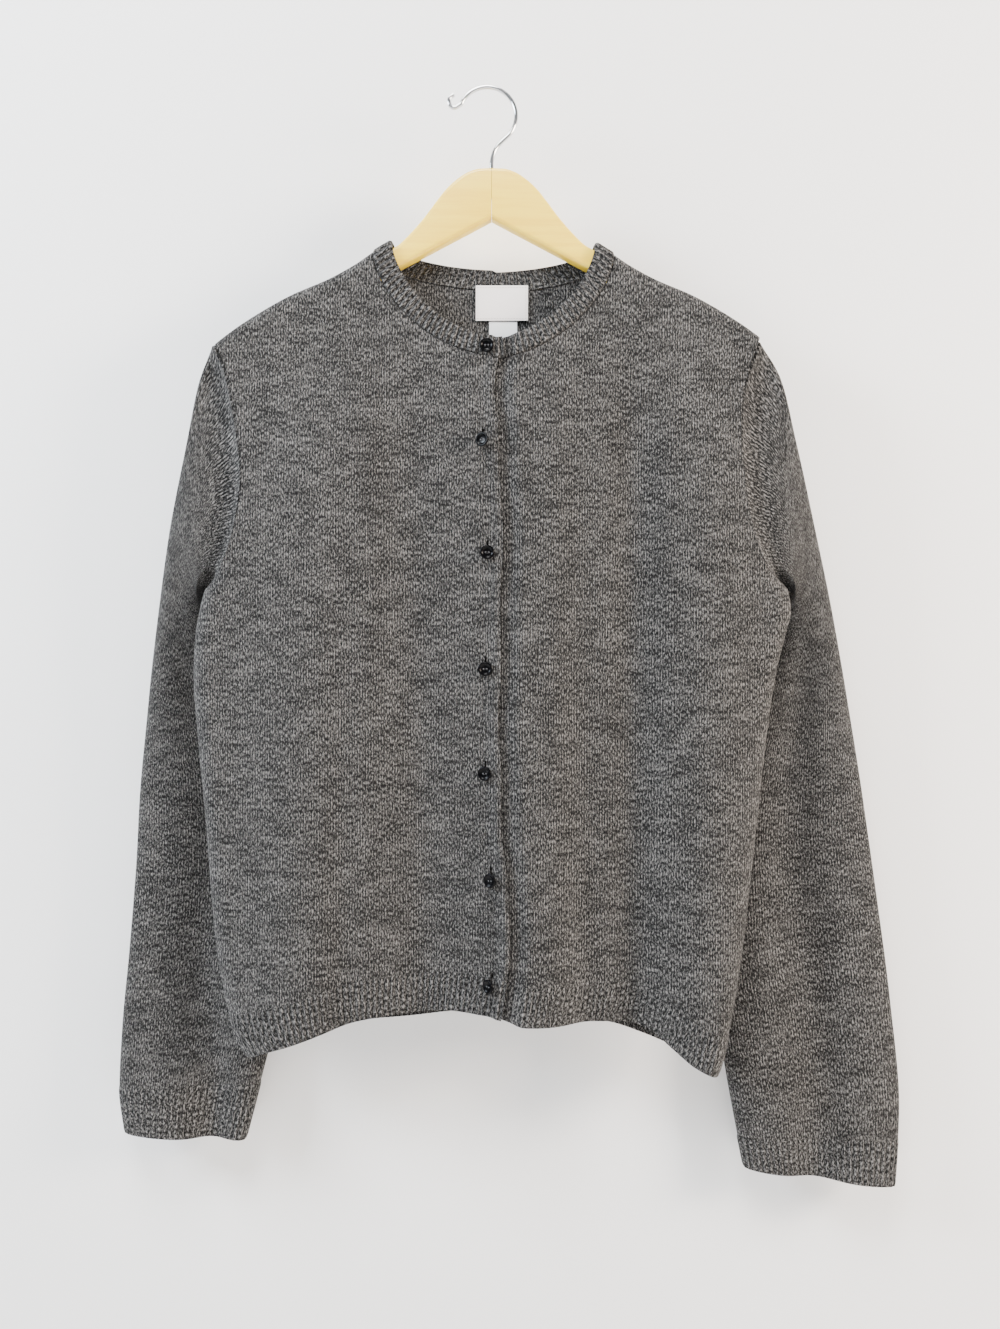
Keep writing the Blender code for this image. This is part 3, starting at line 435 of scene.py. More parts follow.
def slitEnds(xAt, count, hemTall, panel):
    if panel != "front_right":
        return []
    top = meet(xAt, lambda x: topDrop(x, True), count)[7]
    bottom = meet(xAt, lambda x: hemDrop(x, True), count)[7] - hemTall
    ends = []
    for drop, _, _ in buttonRows[1:]:
        ends += [drop - placket["slitAbove"], drop + placket["slitBelow"]]
    return [(end - top) / (bottom - top) for end in ends if end < bottom - 0.5]


# Cells of a grid that fall inside a buttonhole.
def slitCells(xs, drops):
    middleX, middleDrop = (xs[:-1, :-1] + xs[1:, 1:]) / 2, (drops[:-1, :-1] + drops[1:, 1:]) / 2
    across = np.abs(frontEdgeX(middleDrop) - middleX - placket["inset"]) < placket["slitHalf"] * 0.95
    cells = []
    for drop, _, _ in buttonRows[1:]:
        down = (middleDrop > drop - placket["slitAbove"]) & (middleDrop < drop + placket["slitBelow"])
        cells += [tuple(map(int, cell)) for cell in np.argwhere(across & down)]
    return cells


# Sleeves

sleeveLook = {"aroundFront": 46, "ringStep": 0.05, "cuffAround": 150, "cuffRows": 13,
              "cuffFrom": {-1: 11.0, 1: 11.4}, "ribPitch": 4.3, "ribHeight": 0.8,
              "stitchWidth": 262.0}


def softMax(a, b, blend):
    gap = np.abs(a - b)
    return np.maximum(a, b) + np.maximum(0.0, blend - gap) ** 2 / (4 * blend)


# Least y of a sleeve's front wall, so that it passes behind the body's side.
def clearOfBody(side, x, drop):
    inside = (outerX(side, drop) - x) * side
    behind = panelDepth(x, drop, False) + sleeveFit["clear"]
    beside = (cloth["sideSeamY"] + sleeveFit["clear"]
              + (np.minimum(inside, 0) - np.maximum(0, cloth["underarm"] - drop)) * sleeveFit["turn"])
    return np.where((inside > 0) & (drop > cloth["underarm"]), behind, beside)


def sleeveGrid(side, rings, around):
    table = np.column_stack([np.arange(len(sleeveRings[side])), sleeveRings[side]])
    panel = "front_left" if side > 0 else "front_right"
    tipDrop = meet(lambda drop: outerX(side, drop), lambda x: topDrop(x, True), 1)[0]
    pitDrop = cloth["underarm"]
    half = (1 - np.cos(np.linspace(0, math.pi, around))) / 2
    share = np.concatenate([half, half[1:-1][::-1]])
    isFront = np.arange(len(share)) < around
    seamDrop = tipDrop + (pitDrop - tipDrop) * share
    seamX = outerX(side, seamDrop)
    seam = np.where(isFront[:, None], facePoint(seamX, seamDrop, panel),
                    facePoint(seamX, seamDrop, "back"))
    seam[0, 1] = 0
    own = seam - (seam[0] + (seam[around - 1] - seam[0]) * share[:, None])
    grid = []
    for at in rings:
        ring = [float(between(table, at, column)) for column in range(1, 11)]
        top = np.array([ring[0], ring[2], -ring[1]])
        end = np.array([ring[3], ring[5], -ring[4]])
        deep, join, valley, valleyAt = ring[6:]
        points = top + (end - top) * share[:, None]
        fade = join ** sleeveFit["seamFade"]
        points += own * np.array([fade, join, fade])
        flat = deep * crestRise(np.minimum(share, 1 - share), 0.5, 2.6)
        dip = valley * np.exp(-((share - valleyAt) / 0.17) ** 2)
        points[:, 1] += (1 - join) * np.where(isFront, dip - flat, flat)
        # the sleeve sinks in just beside the armhole's seam
        dent = sleeveFit["dent"] * at / sleeveFit["dentAt"] * math.exp(1 - at / sleeveFit["dentAt"])
        points[:, 1] += dent * np.where(isFront, crestRise(np.minimum(share, 1 - share), 0.12), 0)
        if at > 0:
            inner = isFront & (share > 0) & (share < 1)
            clear = softMax(points[:, 1], clearOfBody(side, points[:, 0], -points[:, 2]), 3.0)
            points[:, 1] = np.where(inner, clear, points[:, 1])
            front = np.interp(share, share[:around], points[:around, 1])
            room = sleeveFit["wallRoom"] * crestRise(np.minimum(share, 1 - share), 0.05)
            points[:, 1] = np.where(isFront, points[:, 1], softMax(points[:, 1], front + room, 2.0))
        else:
            points = points + np.stack([np.full(len(share), -side * 1.0), np.where(isFront, *sleeveFit["tuck"]),
                                        np.zeros(len(share))], -1)
        grid.append(points)
    grid = np.stack(grid)
    chord = grid[:, around - 1] - grid[:, 0]
    plane = np.cross(chord, np.array([0.0, 1.0, 0.0]))
    tangent = np.roll(grid, -1, axis=1) - np.roll(grid, 1, axis=1)
    inward = unit(np.cross(plane[:, None, :], tangent))
    return grid, inward


def sleeveShells(side):
    look = sleeveLook
    cuffFrom, last = look["cuffFrom"][side], len(sleeveRings[side]) - 1.0
    shells = []
    for isCuff in (False, True):
        start, stop = (cuffFrom, last) if isCuff else (0.0, cuffFrom)
        count = look["cuffRows"] if isCuff else int((stop - start) / look["ringStep"])
        outer, inward = sleeveGrid(side, np.linspace(start, stop, count),
                                   look["cuffAround"] if isCuff else look["aroundFront"])
        around = np.linalg.norm(np.roll(outer, -1, axis=1) - outer, axis=2)
        along = np.concatenate([np.zeros((len(outer), 1)), np.cumsum(around, axis=1)], axis=1)
        if isCuff:
            ribs = round(along[-1, -1] / look["ribPitch"])
            ridge = 0.5 + 0.5 * np.cos(2 * math.pi * ribs * along[-1, :-1] / along[-1, -1])
            rows = np.linspace(0, 1, count)
            soft = np.minimum(1, np.minimum(rows, 1 - rows) * 9 + 0.35)
            outer = outer - inward * (ridge[None, :] * look["ribHeight"] * soft[:, None])[..., None]
        wide = ribs * ribUnit if isCuff else look["stitchWidth"]
        u = along / along[:, -1:] * wide + 100 * ribUnit * (side + 2)
        steps = np.linalg.norm(np.diff(outer, axis=0), axis=2).mean(axis=1)
        v = np.concatenate([[0], np.cumsum(steps)]) + (600 if isCuff else 0)
        shells.append({"outer": outer, "inward": inward, "thickness": cloth["thickness"],
                       "uv": (u, np.repeat(v[:, None], u.shape[1], axis=1)), "closed": True,
                       "slot": int(isCuff)})
    return shells


# Neckband

bandLook = {"step": 0.62, "rows": 12, "ribPitch": 4.6, "ribHeight": 0.95, "rightEnd": 13.5}


def bandShells():
    look = bandLook
    firstNeck, lastNeck = neck["x"] - neck["half"], neck["x"] + neck["half"]
    near = np.linspace(0, 1, 1500) ** 3

    def run(a, b, panel, bothEnds=False):
        if bothEnds:
            half = near[::3] / 2
            share = np.concatenate([half, 1 - half[::-1][1:]])
        else:
            share = near if panel == "front_left" else 1 - near[::-1]
        xs = a + (b - a) * share
        isFront = panel != "back"
        freeX = neck["x"] + (xs - neck["x"]) * neck["freeHalf"] / neck["half"]
        end = neck["x"] + np.where(xs < neck["x"], -1, 1) * neck["freeHalf"]
        freeArch = arch(freeX, neck["freeHalf"], neck["freeFront" if isFront else "freeBack"])
        seam = facePoint(xs, topDrop(xs, isFront), panel)
        free = facePoint(freeX, shoulderDrop(end) + freeArch, panel)
        tips = np.abs(xs - neck["x"]) >= neck["half"] - 0.01
        seam[tips, 1] = free[tips, 1] = 0
        deeper = np.abs(free[:, 1]) > np.abs(seam[:, 1])
        free[deeper, 1] = seam[deeper, 1]
        return seam, free
    runs = [run(look["rightEnd"], firstNeck, "front_right"), run(firstNeck, lastNeck, "back", True),
            run(lastNeck, float(firstX(1, 0)), "front_left")]
    seam = np.concatenate([pair[0] for pair in runs])
    free = np.concatenate([pair[1] for pair in runs])
    middle = (seam + free) / 2
    along = np.concatenate([[0], np.cumsum(np.linalg.norm(np.diff(middle, axis=0), axis=1))])
    places = np.linspace(0, along[-1], int(along[-1] / look["step"]))
    seam, free = [np.stack([np.interp(places, along, line[:, k]) for k in range(3)], -1)
                  for line in (seam, free)]
    kernel = np.hanning(13) / np.hanning(13).sum()
    for line in (seam, free):
        padded = np.concatenate([line[:1].repeat(6, 0), line, line[-1:].repeat(6, 0)])
        for k in range(3):
            line[:, k] = np.convolve(padded[:, k], kernel, "valid")
    seam = seam + unit(free - seam) * cloth["bandGap"]
    rows = np.linspace(0, 1, look["rows"])
    outer = free[None] + (seam - free)[None] * rows[:, None, None]
    inward = gridInward(outer, -1)
    ridge = 0.5 + 0.5 * np.cos(2 * math.pi * places / look["ribPitch"])
    soft = 1 - np.clip(1 - np.minimum(rows, 1 - rows) * 8, 0, 1) ** 2
    soft = soft[:, None]
    lift = cloth["bandProud"] * (0.3 + 0.7 * soft) + look["ribHeight"] * ridge[None] * soft
    outer = outer - inward * lift[..., None]
    u = np.repeat(rows[:, None] * 16, len(places), 1)
    v = np.repeat(places[None], len(rows), 0)
    return [{"outer": outer, "inward": inward, "thickness": cloth["bandThickness"],
             "uv": (v / look["ribPitch"] * ribUnit, u), "slot": 0}]


# Materials

def newMaterial(name, colour, roughness, metallic=0.0):
    made = bpy.data.materials.new(name)
    made.use_nodes = True
    shader = made.node_tree.nodes["Principled BSDF"]
    shader.inputs["Base Color"].default_value = (*colour, 1)
    shader.inputs["Roughness"].default_value = roughness
    shader.inputs["Metallic"].default_value = metallic
    return made, made.node_tree, shader


def addNode(tree, kind, inputs=None, **settings):
    node = tree.nodes.new(kind)
    for key, value in settings.items():
        setattr(node, key, value)
    for key, value in (inputs or {}).items():
        if hasattr(value, "links"):
            tree.links.new(value, node.inputs[key])
        else:
            node.inputs[key].default_value = value
    return node


def ramp(tree, source, stops):
    node = addNode(tree, "ShaderNodeValToRGB", {"Fac": source})
    for k, (place, colour) in enumerate(stops):
        stop = node.color_ramp.elements[k] if k < 2 else node.color_ramp.elements.new(place)
        stop.position = place
        stop.color = (*colour, 1)
    return node.outputs["Color"]


# Noise laid out in millimetres of the cloth's own grain: across the wales, then along them.
def grainNoise(tree, coords, across, along, detail, rough=0.5, shift=0.0):
    place = addNode(tree, "ShaderNodeMapping", {"Vector": coords, "Location": (shift, shift, shift),
                                                "Scale": (1000 / across, 1000 / along, 1000 / across)})
    noise = addNode(tree, "ShaderNodeTexNoise", {"Vector": place.outputs["Vector"], "Scale": 1.0,
                                                 "Detail": detail, "Roughness": rough})
    return noise.outputs["Fac"]


def mathNode(tree, operation, a, b=0.0):
    return addNode(tree, "ShaderNodeMath", {0: a, 1: b}, operation=operation).outputs[0]


knitLook = {
    "dark": (0.0024, 0.0024, 0.0025), "middle": (0.0195, 0.0192, 0.0190),
    "light": (0.212, 0.204, 0.197),
    "fleck": (1.05, 2.6), "mottle": (17.0, 8.0), "mottleShare": 0.26,
    # groove is how strongly painted shade darkens the hollows between the wales
    "wale": 2.0, "groove": 0.52, "bump": 0.8, "sheen": 0.06,
}


def knitMaterial(name, look):
    made, tree, shader = newMaterial(name, look["middle"], 0.95)
    coords = addNode(tree, "ShaderNodeUVMap", uv_map="cloth").outputs["UV"]
    fleck = grainNoise(tree, coords, *look["fleck"], 2.0, 0.6)
    fibre = grainNoise(tree, coords, 0.55, 1.6, 2.0, 0.6, 3.1)
    mottle = grainNoise(tree, coords, *look["mottle"], 3.0, 0.55, 7.7)
    mixed = mathNode(tree, "ADD", mathNode(tree, "MULTIPLY", fleck, 0.72 - look["mottleShare"] * 0.5),
                     mathNode(tree, "MULTIPLY", fibre, 0.28))
    mixed = mathNode(tree, "ADD", mixed, mathNode(tree, "MULTIPLY", mottle, look["mottleShare"] * 0.5))
    tones = ramp(tree, mixed, [(0.38, look["dark"]), (0.61, look["light"]), (0.485, look["middle"])])
    parts = addNode(tree, "ShaderNodeSeparateXYZ", {"Vector": coords})
    turn = mathNode(tree, "MULTIPLY", parts.outputs["X"], 2 * math.pi * 1000 / look["wale"])
    wale = mathNode(tree, "COSINE", turn)
    # painted shade: the colour is darkened in the hollows between the wales, where shade falls
    half = look["groove"] / 2
    paintedWaleShade = mathNode(tree, "ADD", mathNode(tree, "MULTIPLY", wale, half), 1 - half)
    tonesWithWaleShade = addNode(tree, "ShaderNodeVectorMath", {0: tones, 1: paintedWaleShade}, operation="MULTIPLY")
    tree.links.new(tonesWithWaleShade.outputs["Vector"], shader.inputs["Base Color"])
    height = mathNode(tree, "ADD", mathNode(tree, "MULTIPLY", wale, 0.35),
                      mathNode(tree, "MULTIPLY", fleck, 1.6))
    height = mathNode(tree, "ADD", height, mathNode(tree, "MULTIPLY", fibre, 0.7))
    bump = addNode(tree, "ShaderNodeBump", {"Height": height, "Strength": look["bump"],
                                            "Distance": 0.0006})
    tree.links.new(bump.outputs["Normal"], shader.inputs["Normal"])
    shader.inputs["Sheen Weight"].default_value = look["sheen"]
    shader.inputs["Sheen Roughness"].default_value = 0.5
    shader.inputs["Sheen Tint"].default_value = (0.75, 0.73, 0.72, 1)
    shader.inputs["Specular IOR Level"].default_value = 0.15
    return made


knit = knitMaterial("knit", knitLook)
# the rib material paints the same shade into the hollows between its ribs
rib = knitMaterial("rib", dict(knitLook, mottleShare=0.15, wale=ribUnit, groove=0.52))

frontRight = makeShells("frontRight", panelShells("front_right", -1), [knit, rib])
frontLeft = makeShells("frontLeft", panelShells("front_left", 1), [knit, rib])
backPanel = makeShells("backPanel", panelShells("back", 0), [knit, rib])
declare(frontRight, "knit", "front_right")
declare(frontLeft, "knit", "front_left")
declare(backPanel, "knit", "back")
print("panels made")

sleeveRight = makeShells("sleeveRight", sleeveShells(-1), [knit, rib])
sleeveLeft = makeShells("sleeveLeft", sleeveShells(1), [knit, rib])
declare(sleeveRight, "knit", "sleeve_right")
declare(sleeveLeft, "knit", "sleeve_left")
print("sleeves made")

neckband = makeShells("neckband", bandShells(), [rib])
declare(neckband, "rib", "neckband")
print("neckband made")


# Labels on the inside of the back

labelLook = {
    "brand": {"left": -9.0, "right": 32.0, "top": 151.0, "bottom": 178.5, "thick": 0.6, "lift": 3.3},
    "care": {"left": 1.5, "right": 23.5, "top": 179.0, "bottom": 209.0, "thick": 0.5, "lift": 2.3},
    "brandColour": (0.86, 0.80, 0.77), "careColour": (0.86, 0.86, 0.86), "stitchColour": (0.62, 0.56, 0.53),
    "brandWeave": 0.7, "careWeave": 0.4, "brandRough": 0.75, "careRough": 0.38,
}


def labelGrid(size, columns=40, rows=30):
    xs, drops = np.meshgrid(np.linspace(size["left"], size["right"], columns),
                            np.linspace(size["top"], size["bottom"], rows))
    face = facePoint(xs, drops, "back")
    inward = gridInward(face, -1)
    return face + inward * size["lift"], inward, xs, drops


def makeLabel(name, size, material):
    outer, inward, xs, drops = labelGrid(size)
    shell = {"outer": outer, "inward": inward, "thickness": size["thick"], "uv": (xs, drops)}
    return makeShells(name, [shell], [material])


# A row of short stitches round the label, as one mesh of little bars.
def stitchBars(name, size, material, inset=1.6, pitch=2.2, long=1.4, thick=0.28):
    left, right = size["left"] + inset, size["right"] - inset
    top, bottom = size["top"] + inset, size["bottom"] - inset
    points, faces = [], []

    def bar(x, drop, dx, dd):
        at = facePoint(np.array(x), np.array(drop), "back")
        at = at + np.array([0, -(size["lift"] + size["thick"] + 0.12), 0])
        start = len(points)
        for sx in (-1, 1):
            for sy in (-1, 1):
                for sz in (-1, 1):
                    points.append(at + np.array([sx * (dx / 2 + (dx == 0) * thick / 2), sy * 0.12,
                                                 sz * (dd / 2 + (dd == 0) * thick / 2)]))
        for face in ((0, 1, 3, 2), (4, 6, 7, 5), (0, 4, 5, 1),
                     (2, 3, 7, 6), (0, 2, 6, 4), (1, 5, 7, 3)):
            faces.append([start + k for k in face])
    for x in np.arange(left, right, pitch):
        bar(x, top, long, 0)
        bar(x, bottom, long, 0)
    for drop in np.arange(top, bottom, pitch):
        bar(left, drop, 0, long)
        bar(right, drop, 0, long)
    return makeObject(name, points, faces, [material], sharp=30)


def wovenMaterial(name, colour, pitch, roughness):
    made, tree, shader = newMaterial(name, colour, roughness)
    coords = addNode(tree, "ShaderNodeUVMap", uv_map="cloth").outputs["UV"]
    parts = addNode(tree, "ShaderNodeSeparateXYZ", {"Vector": coords})
    waves = [mathNode(tree, "COSINE", mathNode(tree, "MULTIPLY", parts.outputs[axis],
                                               2 * math.pi * 1000 / pitch)) for axis in ("X", "Y")]
    bump = addNode(tree, "ShaderNodeBump", {"Height": mathNode(tree, "MULTIPLY", *waves),
                                            "Strength": 0.25, "Distance": 0.0002})
    tree.links.new(bump.outputs["Normal"], shader.inputs["Normal"])
    return made


labelCloth = wovenMaterial("labelCloth", labelLook["brandColour"], labelLook["brandWeave"],
                           labelLook["brandRough"])
satin = wovenMaterial("satin", labelLook["careColour"], labelLook["careWeave"], labelLook["careRough"])
stitchThread = newMaterial("stitchThread", labelLook["stitchColour"], 0.8)[0]
brandLabel = makeLabel("blankLabel", labelLook["brand"], labelCloth)
careLabel = makeLabel("careLabel", labelLook["care"], satin)
labelStitches = stitchBars("labelStitches", labelLook["brand"], stitchThread)
declare(brandLabel, "label", "brand_label")
declare(careLabel, "care_label", "care_label")
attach(labelStitches, "root")
print("labels made")


# Buttons

buttonLook = {"sides": 56, "holeOut": 1.25, "holeRadius": 0.62,
              "colour": (0.0012, 0.0012, 0.0016), "thread": (0.06, 0.06, 0.063),
              "roughness": 0.24, "shine": 0.09}
buttonProfile = [(0, -1.35), (1.6, -1.38), (2.6, -1.46), (3.3, -1.62), (3.7, -1.95), (4.0, -2.22),
                 (4.4, -2.36), (4.8, -2.38), (5.15, -2.24), (5.4, -1.92), (5.5, -1.55), (5.38, -1.1),
                 (5.0, -0.5), (4.2, -0.12), (3.0, 0.0), (0.7, 0.0)]


def lathe(profile, sides):
    points, faces = [], []
    rings = []
    for radius, depth in profile:
        angles = [0.0] if radius == 0 else [2 * math.pi * k / sides for k in range(sides)]
        rings.append(range(len(points), len(points) + len(angles)))
        points += [(radius * math.cos(a), depth, radius * math.sin(a)) for a in angles]
    for a, b in zip(rings, rings[1:]):
        for k in range(sides):
            j = (k + 1) % sides
            corners = [a[k % len(a)], a[j % len(a)], b[j % len(b)], b[k % len(b)]]
            faces.append(list(dict.fromkeys(corners)))
    return np.array(points), faces


def makeButton(number, drop, turn, lift):
    isBand = number == 1
    look = buttonLook
    x = 0.2 if isBand else float(frontEdgeX(drop)) - placket["inset"]
    spot = facePoint(np.array([x - 1, x, x + 1]), np.array([drop] * 3), "front_right")
    across = unit(spot[2] - spot[0])
    way = unit(np.array([-across[1], across[0], 0.0]))
    way = way if way[1] > 0 else -way
    middle = spot[1] - way * (lift + (cloth["bandProud"] if isBand else 0))
    gap = placket["step"] - cloth["seamGap"]
    post = lift + gap - (cloth["bandProud"] if isBand else 0)
    lean = Vector((0, 1, 0)).rotation_difference(Vector(way)).to_matrix()
    spin = np.array(lean @ Matrix.Rotation(math.radians(turn), 3, "Z"))
    disc, faces = lathe(buttonProfile, look["sides"])
    points = [disc @ spin.T + middle]
    allFaces, slots = list(faces), [0] * len(faces)
    stalk, stalkFaces = lathe([(0.7, -0.3), (0.62, post * 0.5), (0.7, post), (0, post)], 12)
    pieces = [(stalk @ np.array(lean).T + middle, stalkFaces, 1)]
    for side in (-1, 1):
        radius = look["holeRadius"]
        hole, holeFaces = lathe([(0, -1.30), (radius + 0.34, -1.36), (radius + 0.55, -1.50),
                                 (radius + 0.72, -1.36)], 20)
        knot, knotFaces = lathe([(0, -1.72), (0.3, -1.68), (0.5, -1.52), (radius, -1.30)], 16)
        out = np.array([side * look["holeOut"], 0, 0])
        pieces.append(((hole + out) @ spin.T + middle, holeFaces, 0))
        pieces.append(((knot + out) @ spin.T + middle, knotFaces, 1))
    for more, moreFaces, slot in pieces:
        start = sum(len(p) for p in points)
        points.append(more)
        allFaces += [[start + k for k in face] for face in moreFaces]
        slots += [slot] * len(moreFaces)
    return makeObject(f"button{number}", np.concatenate(points), allFaces, [buttonBlack, buttonThread],
                      slots=slots, sharp=40)


buttonBlack, _, buttonShader = newMaterial("buttonBlack", buttonLook["colour"],
                                             buttonLook["roughness"])
buttonShader.inputs["Specular IOR Level"].default_value = buttonLook["shine"]
buttonThread = newMaterial("buttonThread", buttonLook["thread"], 0.8)[0]
for number, (drop, turn, lift) in enumerate(buttonRows, start=1):
    declare(makeButton(number, drop, turn, lift), "button", f"button_{number}")
print("buttons made")


# Hanger

hangerLook = {"halfThick": 6.0, "tip": 208.0, "edge": 3.0, "notch": 102.6,
              "slope": 0.53, "wire": 1.65, "hookRadius": 22.5, "shankX": 3.5, "shankDeep": 86.0,
              "pale": (0.98, 0.68, 0.045), "grain": (0.90, 0.58, 0.035)}
hangerHump = np.array([
    (0, 63.4), (9, 63.7), (18, 66.3), (27, 72), (35, 79.3), (43, 89.2), (51, 100), (58, 108.4),
    (65, 116), (73, 123.5), (90, 132.2), (106, 143.2), (127, 154.7), (155, 166.7), (180, 180.9),
    (201, 194.7)])


def hangerHalf(name, side, material):
    look = hangerLook
    out = np.concatenate([np.linspace(0, 100, 60), np.linspace(102, look["tip"] - 7, 40)])
    top = [(float(x), float(between(hangerHump, x, 1))) for x in out]
    low = look["notch"] + look["slope"] * (look["tip"] - 7)
    middle, radius = (top[-1][1] + low) / 2, (low - top[-1][1]) / 2
    turn = [(look["tip"] - 7 + 7 * math.sin(a), middle - radius * math.cos(a))
            for a in np.linspace(0, math.pi, 15)[1:]]
    bm = bmesh.new()
    joint = cloth["seamGap"] / 2
    outline = top + turn + [(0, look["notch"])]
    front = -look["halfThick"] * mm
    rim = [bm.verts.new(((cloth["bodyX"] + side * max(x, joint)) * mm, front, -drop * mm))
           for x, drop in outline]
    sweep = bmesh.ops.extrude_face_region(bm, geom=[bm.faces.new(rim)])
    moved = [part for part in sweep["geom"] if isinstance(part, bmesh.types.BMVert)]
    bmesh.ops.translate(bm, verts=moved, vec=(0, 2 * look["halfThick"] * mm, 0))
    rims = [edge for edge in bm.edges if abs(edge.verts[0].co.y - edge.verts[1].co.y) < 1e-6
            and max(abs(vert.co.x - cloth["bodyX"] * mm) for vert in edge.verts) > mm]
    bmesh.ops.bevel(bm, geom=rims, offset=look["edge"] * mm, segments=5, profile=0.5,
                    affect="EDGES", clamp_overlap=True)
    bmesh.ops.recalc_face_normals(bm, faces=bm.faces)
    mesh = bpy.data.meshes.new(name)
    bm.to_mesh(mesh)
    mesh.materials.append(material)
    mesh.shade_smooth()
    mesh.set_sharp_from_angle(angle=math.radians(35))
    obj = bpy.data.objects.new(name, mesh)
    bpy.context.scene.collection.objects.link(obj)
    return obj


def woodMaterial(name, side):
    made, tree, shader = newMaterial(name, hangerLook["pale"], 0.38)
    coords = addNode(tree, "ShaderNodeTexCoord").outputs["Object"]
    place = addNode(tree, "ShaderNodeMapping", {"Vector": coords, "Rotation": (0, side * 0.49, 0),
                                                "Scale": (14, 260, 260),
                                                "Location": (side * 3.0, 0, 0)})
    streak = addNode(tree, "ShaderNodeTexNoise", {"Vector": place.outputs["Vector"], "Scale": 1.0,
                                                  "Detail": 4.0, "Roughness": 0.6}).outputs["Fac"]
    tone = ramp(tree, streak, [(0.35, hangerLook["grain"]), (0.62, hangerLook["pale"])])
    tree.links.new(tone, shader.inputs["Base Color"])
    bump = addNode(tree, "ShaderNodeBump", {"Height": streak, "Strength": 0.08, "Distance": 0.0003})
    tree.links.new(bump.outputs["Normal"], shader.inputs["Normal"])
    shader.inputs["Coat Weight"].default_value = 0.35
    shader.inputs["Coat Roughness"].default_value = 0.22
    return made


def wireHook(name, material):
    look = hangerLook
    points = [(-26.2, 4.4), (-29.0, 6.6), (-29.8, 10.0), (-28.4, 13.2), (-25.4, 14.4), (-22.7, 13.0)]
    centre = look["hookRadius"] - look["wire"]
    for k in range(22):
        angle = math.radians(-66 + (142 + 66) * k / 21)
        points.append((look["hookRadius"] * math.sin(angle),
                       centre - look["hookRadius"] * math.cos(angle)))
    points += [(9.3, 43.0), (6.4, 47.0), (4.6, 51.4), (look["shankX"], 56.5), (look["shankX"], 64.0),
               (look["shankX"], look["shankDeep"])]
    curve = bpy.data.curves.new(name, "CURVE")
    curve.dimensions = "3D"
    spline = curve.splines.new("BEZIER")
    spline.bezier_points.add(len(points) - 1)
    for knot, (x, drop) in zip(spline.bezier_points, points):
        knot.co = (x * mm, 0, -drop * mm)
        knot.handle_left_type = knot.handle_right_type = "AUTO"
    spline.resolution_u = 6
    curve.bevel_depth = look["wire"] * mm
    curve.bevel_resolution = 6
    curve.use_fill_caps = True
    curve.materials.append(material)
    obj = bpy.data.objects.new(name, curve)
    bpy.context.scene.collection.objects.link(obj)
    return obj


steel = newMaterial("polishedSteel", (0.60, 0.60, 0.61), 0.18, 1.0)[0]
declare(hangerHalf("hangerRight", -1, woodMaterial("woodRight", -1)), "wood", "hanger_right")
declare(hangerHalf("hangerLeft", 1, woodMaterial("woodLeft", 1)), "wood", "hanger_left")
declare(wireHook("hangerHook", steel), "hook", "hanger_hook")
print("hanger made")


# Wall and floor, lights and camera

stageLook = {
    "wallY": 0.048, "wallColour": (0.93, 0.92, 0.91), "floorDrop": 1.05,
    "floorColour": (0.72, 0.71, 0.70), "wallWide": 3, "wallTop": 2, "floorWide": 4,
    "roomColour": (0.95, 0.97, 1.0), "roomStrength": 0.34, "lightsAim": (0, 0, -0.42),
}
cameraLook = {"lens": 27, "sensor": 36, "place": (0.010, -0.778, -0.449), "tilt": 90}
lightLook = {
    # name: place, size, power, colour
    "cool": ((-1.55, -0.62, 0.35), 0.6, 74, (0.82, 0.91, 1.0)),
    "warm": ((1.55, -0.62, -0.05), 0.5, 68, (1.0, 0.88, 0.76)),
    "top": ((-0.25, -1.1, 1.5), 0.8, 84, (1.0, 0.99, 0.98)),
}


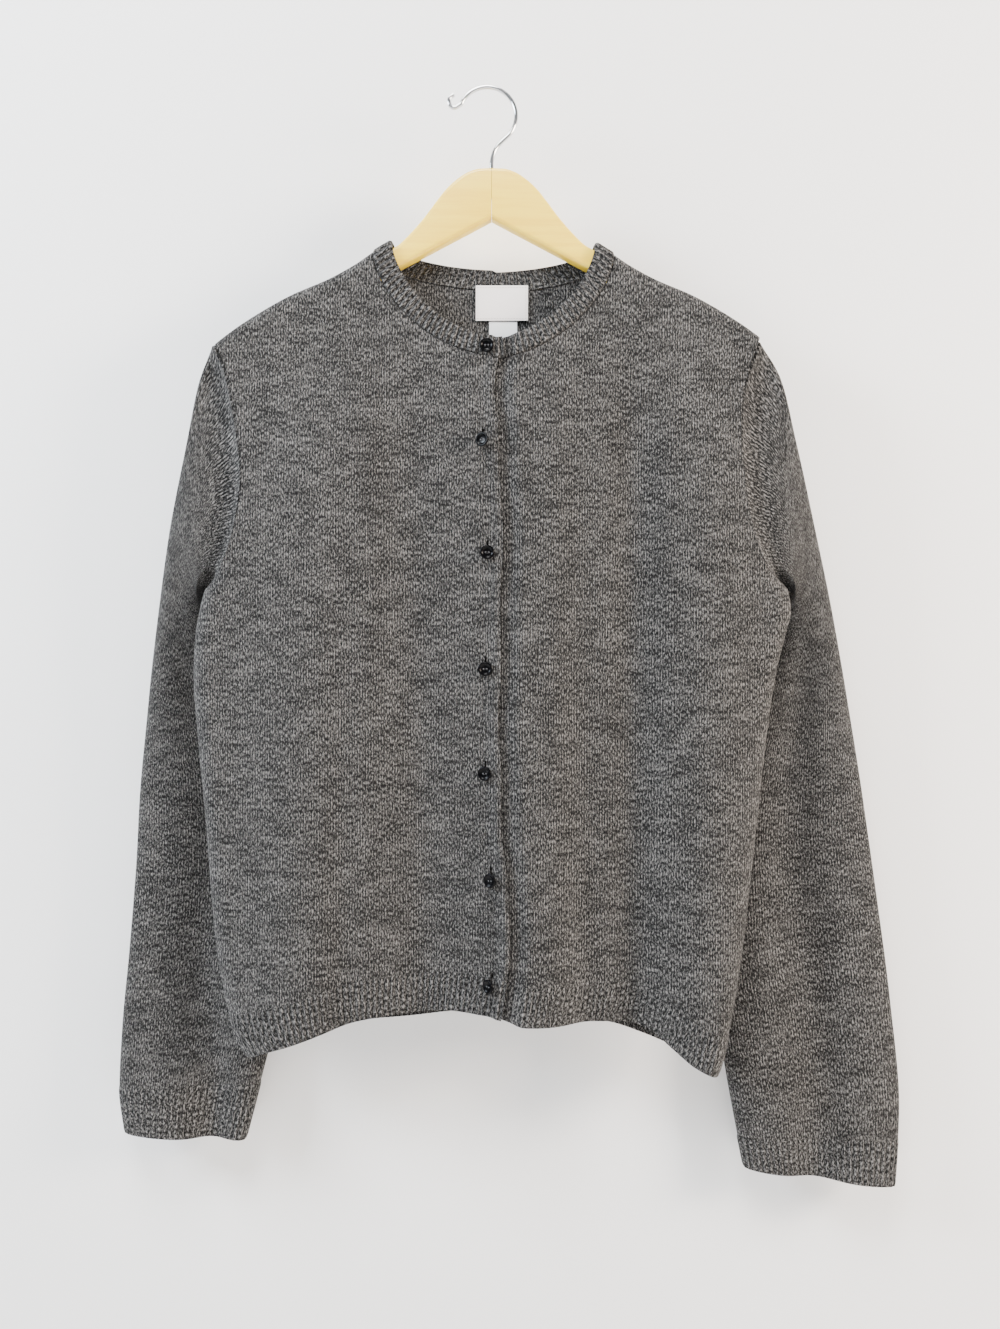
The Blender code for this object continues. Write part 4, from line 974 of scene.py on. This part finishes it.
def plane(name, corners, material):
    mesh = bpy.data.meshes.new(name)
    mesh.from_pydata(corners, [], [(0, 1, 2, 3)])
    mesh.materials.append(material)
    obj = bpy.data.objects.new(name, mesh)
    bpy.context.scene.collection.objects.link(obj)
    return obj


# The wall shows from the front only, so that the garment's back can be looked at.
def wallMaterial():
    made, tree, shader = newMaterial("wallPaint", stageLook["wallColour"], 0.9)
    side = addNode(tree, "ShaderNodeNewGeometry").outputs["Backfacing"]
    clear = addNode(tree, "ShaderNodeBsdfTransparent")
    mixed = addNode(tree, "ShaderNodeMixShader", {0: side, 1: shader.outputs[0], 2: clear.outputs[0]})
    tree.links.new(mixed.outputs[0], tree.nodes["Material Output"].inputs["Surface"])
    return made


wallY, floorZ = stageLook["wallY"], -stageLook["floorDrop"]
wide, high, far = stageLook["wallWide"], stageLook["wallTop"], stageLook["floorWide"]
plane("wall", [(-wide, wallY, floorZ), (wide, wallY, floorZ), (wide, wallY, high), (-wide, wallY, high)],
      wallMaterial())
plane("floor", [(-far, -far, floorZ), (far, -far, floorZ), (far, far, floorZ), (-far, far, floorZ)],
      newMaterial("floorPaint", stageLook["floorColour"], 0.9)[0])

for name, (place, size, power, colour) in lightLook.items():
    data = bpy.data.lights.new(name, "AREA")
    data.size = size
    data.energy = power
    data.color = colour
    lamp = bpy.data.objects.new(name, data)
    lamp.location = place
    aim = Vector(stageLook["lightsAim"]) - Vector(place)
    lamp.rotation_euler = aim.to_track_quat("-Z", "Y").to_euler()
    bpy.context.scene.collection.objects.link(lamp)

world = bpy.data.worlds.new("room")
bpy.context.scene.world = world
world.use_nodes = True
background = world.node_tree.nodes["Background"]
background.inputs["Color"].default_value = (*stageLook["roomColour"], 1)
background.inputs["Strength"].default_value = stageLook["roomStrength"]

cameraData = bpy.data.cameras.new("camera")
cameraData.lens = cameraLook["lens"]
cameraData.sensor_width = cameraLook["sensor"]
camera = bpy.data.objects.new("camera", cameraData)
camera.location = cameraLook["place"]
camera.rotation_euler = (math.radians(cameraLook["tilt"]), 0, 0)
bpy.context.scene.collection.objects.link(camera)
bpy.context.scene.camera = camera
print("stage set")
